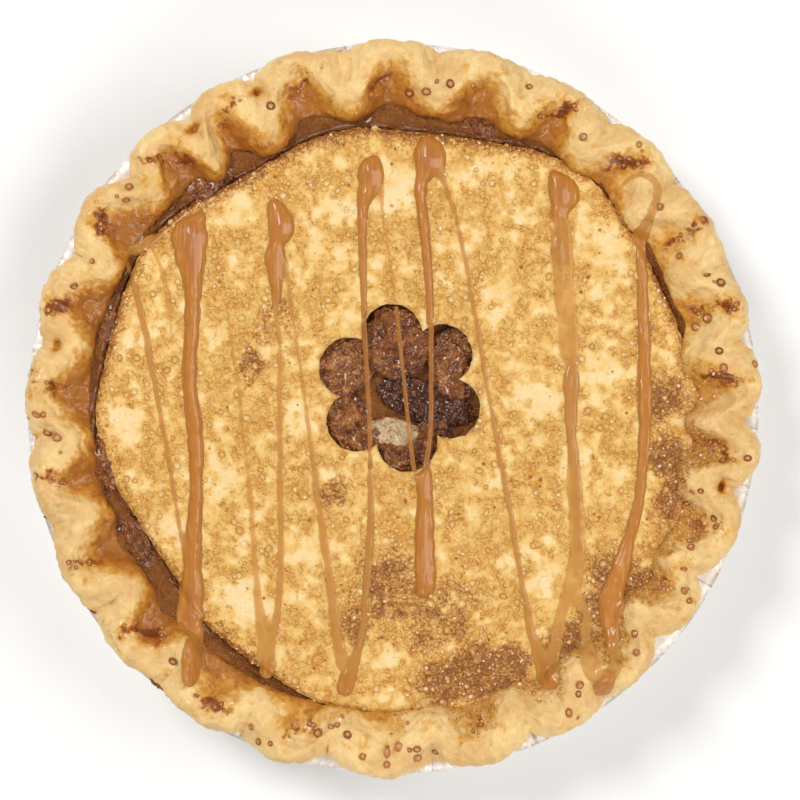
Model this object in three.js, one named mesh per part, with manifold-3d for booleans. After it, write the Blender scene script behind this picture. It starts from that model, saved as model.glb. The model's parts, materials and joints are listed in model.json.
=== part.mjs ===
// A caramel apple pie baked in its foil tin: a pleated tin with a rolled edge, a pastry shell with a
// hand-crimped rim, an apple filling, and a loose pastry lid with a flower-shaped window.
// Millimetres, +Z up. The origin is the centre of the tin's base, and the pie stands on z = 0.

import * as THREE from "three";
import { mergeVertices } from "three/addons/utils/BufferGeometryUtils.js";
import Module from "manifold-3d";

const wasm = await Module();
wasm.setup();

// ---------------------------------------------------------------- driving dimensions

const GAP = 0.35; // clearance kept between neighbouring pieces
const TURN = 2 * Math.PI;
const RAD = Math.PI / 180;

const TIN = {
  baseR: 93, // where the wall leaves the base
  wallTopR: 111, // where the wall meets the flange
  flangeZ: 30, // top of the flange
  beadR: 120.9, // centre line of the rolled edge
  beadZ: 30.3,
  bead: 1.3, // radius of the rolled edge
  wall: 0.4,
  pleats: 36,
  pleat: 0.45, // how far a pleat stands in or out
  crimp: 0.2, // how far a flange crimp stands up or down
};

const CRUST = {
  floor: 4.2, // thickness of the pastry base
  wallLow: 5, // thickness of the pastry wall at the bottom
  wallHigh: 8.5, // and just under the rim
  footZ: 33, // where the rim's inner slope meets the lid's level
  footR: 101,
  shoulderZ: 29, // where the wall's inner face turns up towards the foot
};

// Widths of the finger crimps in degrees, counter-clockwise from the first notch.
const FIRST_NOTCH = 11;
const CRIMP_WIDTHS = [
  12.5, 15, 14, 15, 15, 16, 15, 12, 13.5, 15, 15.5, 15, 14.5, 15.5, 15.5, 15, 14, 17.5, 16.5, 13,
  13, 12, 15.5, 11.5, 13,
];
const STEPS_PER_CRIMP = 4;

const LID = {
  radius: 99.7, // where it still reaches the rim
  edgeZ: 34.4, // top of the lid at its edge
  dome: 2.4, // how much higher it is in the middle
  thick: 3.4,
  steps: 60,
};

// Where the baked lid has drawn back from the rim: direction and half-width in degrees, depth in mm.
const SHRUNK = [
  { at: 20, wide: 34, deep: 3.2 },
  { at: 84, wide: 36, deep: 8.6 },
  { at: 122, wide: 30, deep: 8.8 },
  { at: 166, wide: 30, deep: 3.6 },
  { at: 212, wide: 32, deep: 9.2 },
  { at: 240, wide: 20, deep: 3.4 },
];

const WINDOW = { x: 2.1, y: 6.7, petals: 6, petalAt: 18, petalR: 10, turn: 38 };
const WINDOW_CENTRE = new THREE.Vector3(WINDOW.x, WINDOW.y, 0);
const FILLING_IN_WINDOW_Z = 30.2; // level of the filling between the slices

// Apple slices that fill the window: centre from the window's middle, half sizes, yaw and tilt in
// degrees, and how much each is bent. Each later slice is trimmed where it meets an earlier one.
const SLICES = [
  { x: -0.8, y: 15.6, z: 30.4, size: [10.6, 11.6, 2.2], yaw: 4, tilt: -3, bend: 0.006 },
  { x: 19, y: 8.6, z: 30.2, size: [11.4, 8, 2.1], yaw: 82, tilt: 3, bend: 0.006 },
  { x: -19, y: 7, z: 30.2, size: [11.2, 8.4, 2.1], yaw: 35, tilt: 3, bend: 0.008 },
  { x: -16.4, y: -12.4, z: 30.3, size: [11, 7.4, 2.1], yaw: -58, tilt: -3, bend: 0.01 },
  { x: -1.4, y: -23, z: 30.2, size: [8.2, 6, 2.1], yaw: 0, tilt: 4, bend: -0.01 },
  { x: 9, y: -4.4, z: 29.7, size: [17.5, 6.6, 2.1], yaw: -16, tilt: 0, bend: -0.004 },
  { x: 10.8, y: -18.4, z: 30, size: [8, 5.4, 2], yaw: 72, tilt: 0, bend: 0.008 },
  { x: -2.2, y: -13.6, z: 30, size: [7.6, 5.4, 2], yaw: -8, tilt: -3, bend: 0.01 },
];

// Apple chunks pushed up between the lid and the rim: direction, distance, half sizes.
const CHUNKS = [
  { at: 73.5, r: 97.4, z: 31.4, size: [7.4, 2.8, 2.4], bend: -0.005 },
  { at: 130, r: 95.8, z: 31.6, size: [11.4, 4, 2.6], bend: -0.005 },
  { at: 164, r: 98.4, z: 31.6, size: [6, 2.3, 2.4], bend: -0.005 },
  { at: 191.5, r: 97.4, z: 31.8, size: [11.4, 3.2, 2.8], bend: -0.005 },
  { at: 207.5, r: 95.8, z: 31.6, size: [10.8, 4, 2.6], bend: -0.005 },
];

// ---------------------------------------------------------------- closed surfaces

const lerp = (a, b, t) => a + (b - a) * t;
const polar = (r, angle, z) => new THREE.Vector3(r * Math.cos(angle), r * Math.sin(angle), z);

// A bump of height 1 at centre that falls smoothly to 0 at half-width wide, all in degrees.
function bump(degrees, centre, wide) {
  const off = Math.abs(((degrees - centre + 540) % 360) - 180) / wide;
  return off < 1 ? 0.5 + 0.5 * Math.cos(Math.PI * off) : 0;
}

// Joins the sections taken at each angle into one closed surface. A section lists points that run
// outwards along the underside and back along the top. It closes on itself, or if capped its first
// and last points lie on the axis.
function closedRing(angles, sectionAt, capped) {
  const sections = angles.map(sectionAt);
  const rows = sections[0].length;
  const count = sections.length;
  const points = sections.flat();
  const index = [];
  const at = (i, j) => (i % count) * rows + (j % rows);
  for (let i = 0; i < count; i++) {
    for (let j = 0; j < rows - (capped ? 1 : 0); j++) {
      index.push(at(i, j), at(i + 1, j), at(i + 1, j + 1));
      index.push(at(i, j), at(i + 1, j + 1), at(i, j + 1));
    }
  }
  const geometry = new THREE.BufferGeometry().setFromPoints(points);
  geometry.setIndex(index);
  return withoutSlivers(mergeVertices(geometry, 1e-4));
}

// Drops the triangles that have collapsed at the poles.
function withoutSlivers(geometry) {
  const index = geometry.index.array;
  const kept = [];
  for (let i = 0; i < index.length; i += 3) {
    const [a, b, c] = index.slice(i, i + 3);
    if (a !== b && b !== c && c !== a) kept.push(a, b, c);
  }
  geometry.setIndex(kept);
  geometry.computeVertexNormals();
  return geometry;
}

function evenAngles(count, start = 0) {
  return Array.from({ length: count }, (_, i) => start + (i * TURN) / count);
}

// ---------------------------------------------------------------- solids for cutting

function toSolid(geometry) {
  const bare = geometry.clone();
  for (const name of Object.keys(bare.attributes)) {
    if (name !== "position") bare.deleteAttribute(name);
  }
  const merged = mergeVertices(bare, 1e-4);
  return new wasm.Manifold(
    new wasm.Mesh({
      numProp: 3,
      vertProperties: new Float32Array(merged.attributes.position.array),
      triVerts: new Uint32Array(merged.index.array),
    }),
  );
}

function toGeometry(solid) {
  const mesh = solid.getMesh();
  const position = new THREE.BufferAttribute(new Float32Array(mesh.vertProperties), 3);
  const geometry = new THREE.BufferGeometry().setAttribute("position", position);
  geometry.setIndex(new THREE.BufferAttribute(new Uint32Array(mesh.triVerts), 1));
  geometry.computeVertexNormals();
  return geometry;
}

// ---------------------------------------------------------------- foil tin

const tinWallR = (z) => lerp(TIN.baseR, TIN.wallTopR, z / TIN.flangeZ);

function tinSection(angle, i) {
  const side = i % 2 ? 1 : -1;
  const pleat = side * TIN.pleat;
  const crimp = side * TIN.crimp;
  const skin = TIN.wall;
  const slope = (TIN.wallTopR - TIN.baseR) / TIN.flangeZ;
  const slant = skin * Math.hypot(1, slope); // the wall's thickness measured along a radius
  const bead = [210, 280, 350, 60, 130].map((degrees) => [
    TIN.beadR + TIN.bead * Math.cos(degrees * RAD),
    TIN.beadZ + TIN.bead * Math.sin(degrees * RAD),
  ]);
  const profile = [
    [0, 0],
    [TIN.baseR - 2, 0],
    [tinWallR(1.5) + slant + pleat / 2, 1.2],
    [tinWallR(TIN.flangeZ - 2) + slant + pleat, TIN.flangeZ - 2],
    [TIN.wallTopR + 1.6, TIN.flangeZ - skin + crimp],
    [TIN.beadR - 2.3, TIN.flangeZ - skin + crimp],
    ...bead,
    [TIN.beadR - 2.3, TIN.flangeZ + crimp],
    [TIN.wallTopR + 1, TIN.flangeZ + crimp],
    [tinWallR(TIN.flangeZ - 2) + pleat, TIN.flangeZ - 2],
    [tinWallR(1.5) + pleat / 2, 1.5],
    [TIN.baseR - 2, skin],
    [0, skin],
  ];
  return profile.map(([r, z]) => polar(r, angle, z));
}

function foilTin() {
  return closedRing(evenAngles(2 * TIN.pleats), tinSection, true);
}

// ---------------------------------------------------------------- pastry shell and crimped rim

const shellOuterR = (z) => tinWallR(z) - TIN.pleat - GAP;
const shellInnerR = (z) =>
  shellOuterR(z) - lerp(CRUST.wallLow, CRUST.wallHigh, z / CRUST.footZ);
const SHELL_BASE_Z = TIN.wall + GAP;
const SHELL_FLOOR_Z = SHELL_BASE_Z + CRUST.floor;

// Every angle at which the rim is cut, with how far it swells between two notches (0 to 1).
function crimpStations() {
  const stations = [];
  let start = FIRST_NOTCH;
  for (const width of CRIMP_WIDTHS) {
    for (let step = 0; step < STEPS_PER_CRIMP; step++) {
      const share = step / STEPS_PER_CRIMP;
      stations.push({
        angle: (start + width * share) * RAD,
        swell: Math.sin(Math.PI * share) ** 0.8,
      });
    }
    start += width;
  }
  return stations;
}

// The rim's outline at a station, from the tin's flange over the crest and down to the lid. At a
// notch the crest is pinched inwards, over a rounded inner slope. Between notches it bulges over
// the tin's rolled edge, with a scallop inside it.
function rimOutline(angle, swell) {
  const uneven = 0.6 * Math.sin(3 * angle + 0.7) + 0.4 * Math.sin(7 * angle + 2.1);
  const edgeR = lerp(113, 120.3, swell) + 0.4 * uneven;
  const crestR = lerp(108.2, 115.8, swell) + 0.5 * uneven;
  const crestZ = lerp(41, 43, swell) + 0.5 * uneven;
  const underR = Math.min(edgeR - 0.6, TIN.beadR - TIN.bead - 1);
  const underZ = TIN.flangeZ + TIN.crimp + GAP;
  const brim = TIN.beadZ + TIN.bead + GAP + 0.5;
  return [
    [shellOuterR(TIN.flangeZ - 2), TIN.flangeZ - 2],
    [shellOuterR(TIN.flangeZ - 2) + 1.5, underZ],
    [underR, underZ],
    [edgeR, brim],
    [lerp(edgeR, crestR, 0.25), lerp(brim, crestZ, 0.55)],
    [lerp(edgeR, crestR, 0.7), lerp(brim, crestZ, 0.92)],
    [crestR, crestZ],
    [crestR - lerp(3, 4, swell), crestZ - lerp(1.2, 4.4, swell)],
    [lerp(103.6, 106, swell), lerp(36.8, 35.6, swell)],
    [CRUST.footR, CRUST.footZ],
  ];
}

function pastryShell() {
  const stations = crimpStations();
  const swellAt = new Map(stations.map(({ angle, swell }) => [angle, swell]));
  const section = (angle) => {
    const profile = [
      [0, SHELL_BASE_Z],
      [TIN.baseR - 3, SHELL_BASE_Z],
      [shellOuterR(3), 3],
      ...rimOutline(angle, swellAt.get(angle)),
      [shellInnerR(CRUST.shoulderZ), CRUST.shoulderZ],
      [shellInnerR(SHELL_FLOOR_Z), SHELL_FLOOR_Z],
      [0, SHELL_FLOOR_Z],
    ];
    return profile.map(([r, z]) => polar(r, angle, z));
  };
  return closedRing(stations.map(({ angle }) => angle), section, true);
}

// ---------------------------------------------------------------- lid with a flower window

// Distance from the window's middle to its edge. Each petal is part of a circle.
function windowR(angle) {
  const pitch = TURN / WINDOW.petals;
  const turned = (((angle - WINDOW.turn * RAD) % pitch) + pitch) % pitch;
  const off = turned > pitch / 2 ? turned - pitch : turned;
  const across = WINDOW.petalAt * Math.sin(off);
  return WINDOW.petalAt * Math.cos(off) + Math.sqrt(WINDOW.petalR ** 2 - across ** 2);
}

function lidR(angle) {
  const degrees = angle / RAD;
  const drawn = SHRUNK.reduce((sum, s) => sum + s.deep * bump(degrees, s.at, s.wide), 0);
  return LID.radius - drawn + 0.3 * Math.sin(9 * angle) + 0.25 * Math.sin(14 * angle + 1);
}

// Height of the lid's top: a low dome with a few broad waves.
function lidTopZ(x, y) {
  const r = Math.hypot(x, y) / LID.radius;
  const waves = 0.25 * Math.sin(x / 13 + 1) * Math.sin(y / 17) + 0.15 * Math.sin(x / 7 - y / 9);
  return LID.edgeZ + LID.dome * (1 - r * r) + waves * (1 - r * r);
}

// The lid, or with grow a swollen copy of it for cutting a clearance.
function pastryLid(grow = 0) {
  const section = (angle) => {
    const inner = polar(windowR(angle) - grow, angle, 0).add(WINDOW_CENTRE);
    const outer = polar(lidR(angle) + grow, angle, 0);
    const at = (share, depth) => {
      const point = inner.clone().lerp(outer, share);
      point.z = lidTopZ(point.x, point.y) - depth;
      return point;
    };
    return [
      at(0, LID.thick + grow),
      at(0.5, LID.thick + grow),
      at(1, LID.thick + grow),
      at(1, 0.9 - grow),
      at(0.985, -grow),
      at(0.5, -grow),
      at(0.03, -grow),
      at(0, 0.9 - grow),
    ];
  };
  return closedRing(evenAngles(LID.steps, WINDOW.turn * RAD), section, false);
}

// ---------------------------------------------------------------- apple filling

// A bent, flattened slice. grow swells it on every side, for cutting a clearance around it.
function appleSlice({ size, bend, yaw, tilt = 0 }, centre, grow = 0) {
  const slice = new THREE.SphereGeometry(1, 8, 6);
  slice.scale(...size.map((half) => half + grow));
  const position = slice.attributes.position;
  for (let i = 0; i < position.count; i++) {
    position.setY(i, position.getY(i) + bend * position.getX(i) ** 2);
  }
  slice.rotateX(tilt * RAD);
  slice.rotateZ(yaw * RAD);
  slice.translate(centre.x, centre.y, centre.z);
  return toSolid(slice);
}

// The upright prism of the window, drawn in by inset, from bottom to the lid's top.
function windowPrism(inset, bottom) {
  const top = LID.edgeZ + LID.dome;
  const section = (angle) => {
    const edge = windowR(angle) - inset;
    const profile = [[0, bottom], [edge, bottom], [edge, top], [0, top]];
    return profile.map(([r, z]) => polar(r, angle, z).add(WINDOW_CENTRE));
  };
  return toSolid(closedRing(evenAngles(LID.steps, WINDOW.turn * RAD), section, true));
}

// Makes the slices in turn. Each is trimmed by the clearance around those before it and kept
// inside the window. pockets collects the clearances, to be cut out of the filling.
function windowSlices(pockets) {
  const prism = windowPrism(GAP, SHELL_FLOOR_Z);
  const cleared = [];
  const slices = SLICES.map((spec) => {
    const centre = new THREE.Vector3(spec.x, spec.y, spec.z).add(WINDOW_CENTRE);
    const whole = appleSlice(spec, centre);
    const trimmed = cleared.reduce((solid, other) => solid.subtract(other), whole);
    cleared.push(appleSlice(spec, centre, GAP));
    return trimmed.intersect(prism);
  });
  pockets.push(...cleared);
  return slices;
}

// Makes the chunks that lie along the rim, trimmed by the clearance around the lid.
function rimChunks(pockets) {
  const lid = toSolid(pastryLid(GAP));
  return CHUNKS.map((spec) => {
    const centre = polar(spec.r, spec.at * RAD, spec.z);
    const shape = { ...spec, yaw: spec.at + 90 };
    pockets.push(appleSlice(shape, centre, GAP));
    return appleSlice(shape, centre).subtract(lid);
  });
}

// The filling runs through the whole pie, up to the lid's underside and into the gap around it.
function fillingBody() {
  const inset = GAP + 0.2; // keeps the clearance square to the sloping wall
  const edgeR = shellInnerR(CRUST.shoulderZ) - inset;
  const section = (angle) => {
    const topAt = (r) => {
      const point = polar(r, angle, 0);
      point.z = lidTopZ(point.x, point.y) - LID.thick - GAP;
      return point;
    };
    return [
      polar(0, angle, SHELL_FLOOR_Z + GAP),
      polar(shellInnerR(SHELL_FLOOR_Z) - inset, angle, SHELL_FLOOR_Z + GAP),
      polar(edgeR, angle, CRUST.shoulderZ - GAP),
      topAt(edgeR - 0.3),
      topAt(edgeR * 0.8),
      topAt(edgeR * 0.5),
      topAt(0),
    ];
  };
  return toSolid(closedRing(evenAngles(40), section, true));
}

// ---------------------------------------------------------------- the pie

const FINISHES = {
  foil: { color: 0xc9c6c2, roughness: 0.35, metalness: 1 },
  pastry: { color: 0xe0b46f, roughness: 0.7, metalness: 0 },
  lid: { color: 0xe8c27c, roughness: 0.65, metalness: 0 },
  filling: { color: 0x7a4526, roughness: 0.3, metalness: 0 },
  apple: { color: 0x8d5a34, roughness: 0.3, metalness: 0 },
};

function addPiece(group, name, geometry, finish) {
  const mesh = new THREE.Mesh(geometry, new THREE.MeshStandardMaterial(FINISHES[finish]));
  mesh.name = name;
  group.add(mesh);
}

function caramelApplePie() {
  const pie = new THREE.Group();
  addPiece(pie, "foil_tin", foilTin(), "foil");
  addPiece(pie, "pastry_shell", pastryShell(), "pastry");
  addPiece(pie, "pastry_lid", pastryLid(), "lid");

  const pockets = [];
  const slices = windowSlices(pockets);
  const chunks = rimChunks(pockets);
  pockets.push(windowPrism(0, FILLING_IN_WINDOW_Z));
  const filling = pockets.reduce((solid, pocket) => solid.subtract(pocket), fillingBody());
  addPiece(pie, "apple_filling", toGeometry(filling), "filling");
  slices.forEach((slice, i) => addPiece(pie, `apple_slice_${i + 1}`, toGeometry(slice), "apple"));
  chunks.forEach((chunk, i) => addPiece(pie, `apple_chunk_${i + 1}`, toGeometry(chunk), "apple"));
  return pie;
}

export default caramelApplePie();
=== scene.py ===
"""A caramel apple pie in its foil tin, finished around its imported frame."""

import json
import math

import bmesh
import bpy
import numpy as np
from bpy.props import FloatProperty, FloatVectorProperty, IntProperty, PointerProperty
from mathutils import Euler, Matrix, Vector, noise
from mathutils.bvhtree import BVHTree
from mathutils.geometry import delaunay_2d_cdt

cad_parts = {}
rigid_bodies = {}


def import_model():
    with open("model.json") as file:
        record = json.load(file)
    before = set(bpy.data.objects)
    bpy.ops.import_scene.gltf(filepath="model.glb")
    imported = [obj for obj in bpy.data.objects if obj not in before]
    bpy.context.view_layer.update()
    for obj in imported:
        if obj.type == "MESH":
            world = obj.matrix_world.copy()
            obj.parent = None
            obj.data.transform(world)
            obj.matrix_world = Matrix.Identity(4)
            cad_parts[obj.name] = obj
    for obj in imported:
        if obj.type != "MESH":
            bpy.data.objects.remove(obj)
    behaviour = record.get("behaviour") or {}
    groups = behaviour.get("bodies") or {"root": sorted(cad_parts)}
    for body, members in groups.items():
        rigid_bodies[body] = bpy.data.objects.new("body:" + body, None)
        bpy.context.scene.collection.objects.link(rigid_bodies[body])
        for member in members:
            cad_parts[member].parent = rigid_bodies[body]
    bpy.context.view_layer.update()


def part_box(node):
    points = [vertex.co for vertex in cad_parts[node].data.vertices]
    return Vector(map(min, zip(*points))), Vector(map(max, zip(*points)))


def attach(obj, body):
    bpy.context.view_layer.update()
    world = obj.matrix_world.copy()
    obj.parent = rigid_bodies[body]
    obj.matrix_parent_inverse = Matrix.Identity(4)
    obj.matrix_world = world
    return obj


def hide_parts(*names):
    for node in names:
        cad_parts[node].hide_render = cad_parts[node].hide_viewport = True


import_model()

bl_info = {
    "name": "Caramel Apple Pie",
    "version": (1, 0, 0),
    "blender": (4, 5, 0),
    "location": "View3D > Sidebar > Pie",
    "description": "Builds a baked caramel apple pie in a foil tin",
    "category": "Add Mesh",
}

MM = 0.001
TURN = 2 * math.pi
RIM_RADIUS = 110  # mm, where lengths along the rim are measured

# ---- the pie's own layout, in mm

# Widths of the finger crimps in degrees, counter-clockwise from the first notch.
FIRST_NOTCH = 11
CRIMP_WIDTHS = (
    12.5, 15, 14, 15, 15, 16, 15, 12, 13.5, 15, 15.5, 15, 14.5,
    15.5, 15.5, 15, 14, 17.5, 16.5, 13, 13, 12, 15.5, 11.5, 13,
)
NOTCHES = np.cumsum((FIRST_NOTCH,) + CRIMP_WIDTHS)

# At each notch, in the same order: how far the dough spreads over the foil there, 0 to 1, and
# how far from the tin's middle the rim's inner side ends.
SPREAD = (
    0.3, 1.0, 1.0, 0.7, 1.0, 1.0, 0.9, 0.45, 0.3, 0.0, 0.0, 0.8, 1.0, 1.0, 0.9, 1.0, 0.75, 0.1,
    0.35, 0.3, 1.0, 0.3, 0.3, 0.0, 0.1,
)
HILL_TOE = (
    96.6, 99.2, 98.2, 98.2, 97.8, 96.4, 96.0, 92.6, 94.8, 99.4, 99.6, 100.8, 99.0, 98.6, 98.2,
    99.8, 100.6, 100.0, 99.6, 98.8, 99.4, 98.4, 99.0, 95.8, 96.6,
)

# Between notches: how deep the scoop is pressed, how dark its top is baked, where that burnt
# line starts and ends (share of the crimp and distance from the tin's middle).
SCOOPS = (
    (0.75, 0.85, (0.46, 116.5), (0.56, 104.5)), (0.55, 0.8, (0.5, 116.5), (0.47, 106)),
    (0.8, 1.0, (0.42, 114.5), (0.72, 107.5)), (0.8, 1.0, (0.42, 115), (0.7, 107)),
    (0.8, 0.55, (0.55, 111.5), (0.6, 104.5)), (0.8, 0.6, (0.45, 110), (0.7, 105.5)),
    (0.9, 0.6, (0.4, 111.5), (0.62, 108)), (1.0, 0.65, (0.35, 112.5), (0.62, 108)),
    (1.0, 0.8, (0.68, 114), (0.26, 104.5)), (1.0, 1.0, (0.48, 114.5), (0.66, 110.5)),
    (0.9, 0.8, (0.65, 117), (0.5, 111)), (0.8, 0.8, (0.38, 117.5), (0.5, 108.5)),
    (0.7, 0.9, (0.4, 117), (0.56, 110.5)), (1.0, 0.7, (0.46, 115.5), (0.54, 108)),
    (1.0, 0.75, (0.34, 113.5), (0.66, 106)), (1.0, 0.7, (0.36, 114.5), (0.74, 112.5)),
    (0.85, 0.85, (0.5, 112), (0.76, 107)), (0.35, 0.2, (0.6, 112), (0.7, 108)),
    (0.4, 0.35, (0.45, 109), (0.62, 105)), (0.4, 0.1, (0.5, 110), (0.5, 106)),
    (0.35, 0.3, (0.4, 112), (0.6, 107)), (0.45, 0.45, (0.62, 107), (0.72, 104.5)),
    (0.8, 0.9, (0.56, 113.5), (0.5, 105.5)), (0.85, 0.8, (0.5, 110), (0.66, 103)),
    (0.9, 0.85, (0.5, 112), (0.62, 103.5)),
)

# Where the baked lid has drawn back from the rim: direction and half-width in degrees, depth.
SHRUNK = (
    (20, 34, 3.2), (84, 36, 8.6), (122, 30, 8.8), (166, 30, 3.6), (212, 32, 9.2), (240, 20, 3.4),
)

# Where the lid has baked onto the rim: direction and half-width in degrees, how far it reaches.
JOINED = ((306, 62, 3.6), (2, 30, 2.2))

# Holes pinched between two crimps: direction in degrees, distance from the middle, depth.
PITS = ((113.5, 113, 2.6), (125.5, 112.5, 2.4), (169.5, 112.5, 2.0), (346.5, 110.8, 3.4))

# Ring-shaped blisters on the rim: direction in degrees and distance from the tin's middle.
RIM_SPOTS = (
    (7, 119), (7, 108.5), (10, 108), (15, 103.5), (16, 107.5), (21, 114.5), (23, 111.5), (28, 106),
    (37, 109), (47, 117.5), (55, 108), (67, 114.5), (80, 107.5), (84, 104), (87, 103.5), (94, 103),
    (112, 106.5), (140, 112.5), (142, 110.5), (154, 109.5), (159, 111.5), (181, 116.5), (181, 114),
    (184, 113.5), (185, 110), (229, 109.5), (246, 114), (248, 117.5), (257, 109), (259, 106),
    (260, 105), (262, 107.5), (265, 114), (269, 112.5), (269, 116), (271, 110.5), (274, 111.5),
    (274, 114.5), (277, 113.5), (300, 114.5), (303, 111), (304, 109), (312, 110.5), (315, 112.5),
    (317, 108), (327, 115), (328, 112), (331, 108.5), (335, 107.5), (336, 106.5), (341, 111),
    (342, 101.5), (345, 104), (346, 98), (351, 109), (352, 116.5), (355, 102),
)

# Filling that boiled over and burnt on the edge of the tin: direction, distance, half sizes.
BURNT_DRIPS = (
    (160.8, 120.4, 3.6, 1.8), (191.6, 119.8, 1.6, 1.7), (196.4, 119.6, 3.0, 1.5),
    (212.9, 119.6, 3.9, 1.7), (229.6, 119.8, 2.8, 1.6), (232.6, 120.0, 2.3, 1.2),
    (176.5, 120.2, 1.2, 0.9), (205.0, 120.2, 1.4, 0.8),
)

# The flower cut in the lid.
WINDOW = Vector((2.1, 6.7))
PETALS = 6
PETAL_TURN = math.radians(38)

# Bare and browned places on the lid: centre, radius, strength.
BARE = (
    (1, 74, 9, 0.9), (-16, 64, 8, 0.8), (37, 81, 10, 0.8), (-24, 52, 7, 0.7), (-14, 27, 6, 0.8),
    (-31, -4, 7, 0.8), (-48, -63, 10, 1.0), (-59, -77, 9, 1.0), (-57, -22, 9, 0.7),
    (-88, -6, 7, 0.9), (-84, 26, 7, 0.8), (-28, -50, 8, 0.8), (-4, -64, 6, 0.5),
    (35, 36, 8, 0.7), (46, 3, 9, 0.9), (69, 9, 9, 0.8), (68, 53, 10, 0.8), (29, -30, 7, 0.5),
    (49, -57, 8, 0.6), (-52, 66, 7, 0.6), (22, 58, 6, 0.6), (-70, 76, 6, 0.5), (60, -20, 7, 0.6),
    (-6, -82, 7, 0.7), (-76, -40, 7, 0.7),
)
BROWNED = (
    (0, -58, 16, 0.75), (12, -68, 16, 0.68), (88, 4, 10, 0.8), (90, -16, 8, 0.9),
    (28, -86, 12, 1.0),
    (16, -90, 9, 1.0), (38, -84, 8, 0.9), (72, -54, 10, 0.7), (80, -60, 8, 0.8), (-20, -27, 7, 0.7),
    (-47, 14, 6, 0.6), (-38, 30, 7, 0.5), (-42, 24, 5, 0.5), (85, 24, 6, 0.6), (60, -78, 9, 0.7),
    (-12, -72, 8, 0.6), (66, -66, 8, 0.6), (92, -30, 7, 0.7),
)

# Apple slices in the window: place from its middle, height, half sizes, yaw, tilt, bend, tone.
SLICES = (
    ("apple_slice_1", -0.8, 15.6, 30.6, (11.6, 12.6, 2.3), 4, -3, 0.006, 0.5),
    ("apple_slice_2", 19, 8.6, 30.4, (12.4, 9, 2.2), 82, 3, 0.006, 0.56),
    ("apple_slice_3", -19, 7, 30.5, (12.2, 9.4, 2.2), 35, 3, 0.008, 0.65),
    ("apple_slice_4", -16.4, -12.4, 30.5, (12, 8.4, 2.2), -58, -3, 0.01, 0.58),
    ("apple_slice_5", -1.4, -23, 30.4, (9.2, 7, 2.2), 0, 4, -0.01, 0.45),
    ("apple_slice_6", 9, -4.4, 29.9, (18, 6.8, 2.2), -16, 0, -0.004, 0.12),
    ("apple_slice_7", 10.8, -18.4, 30.2, (9, 6.4, 2.1), 72, 0, 0.008, 0.4),
    ("apple_slice_8", -2.0, -14.6, 30.9, (8.4, 4.6, 2.0), -8, -3, 0.01, 1.15),
)

# Apple chunks pushed up between the lid and the rim: direction, distance, height, half sizes.
CHUNKS = (
    ("apple_chunk_1", 73.5, 97.4, 31.9, (7.4, 2.9, 2.5)),
    ("apple_chunk_2", 130, 95.8, 32.2, (11.4, 4.2, 2.7)),
    ("apple_chunk_3", 164, 98.4, 32.2, (6, 2.4, 2.5)),
    ("apple_chunk_4", 191.5, 97.4, 32.4, (11.4, 3.3, 2.8)),
    ("apple_chunk_5", 207.5, 95.8, 32.2, (10.8, 4.2, 2.7)),
)

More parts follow.
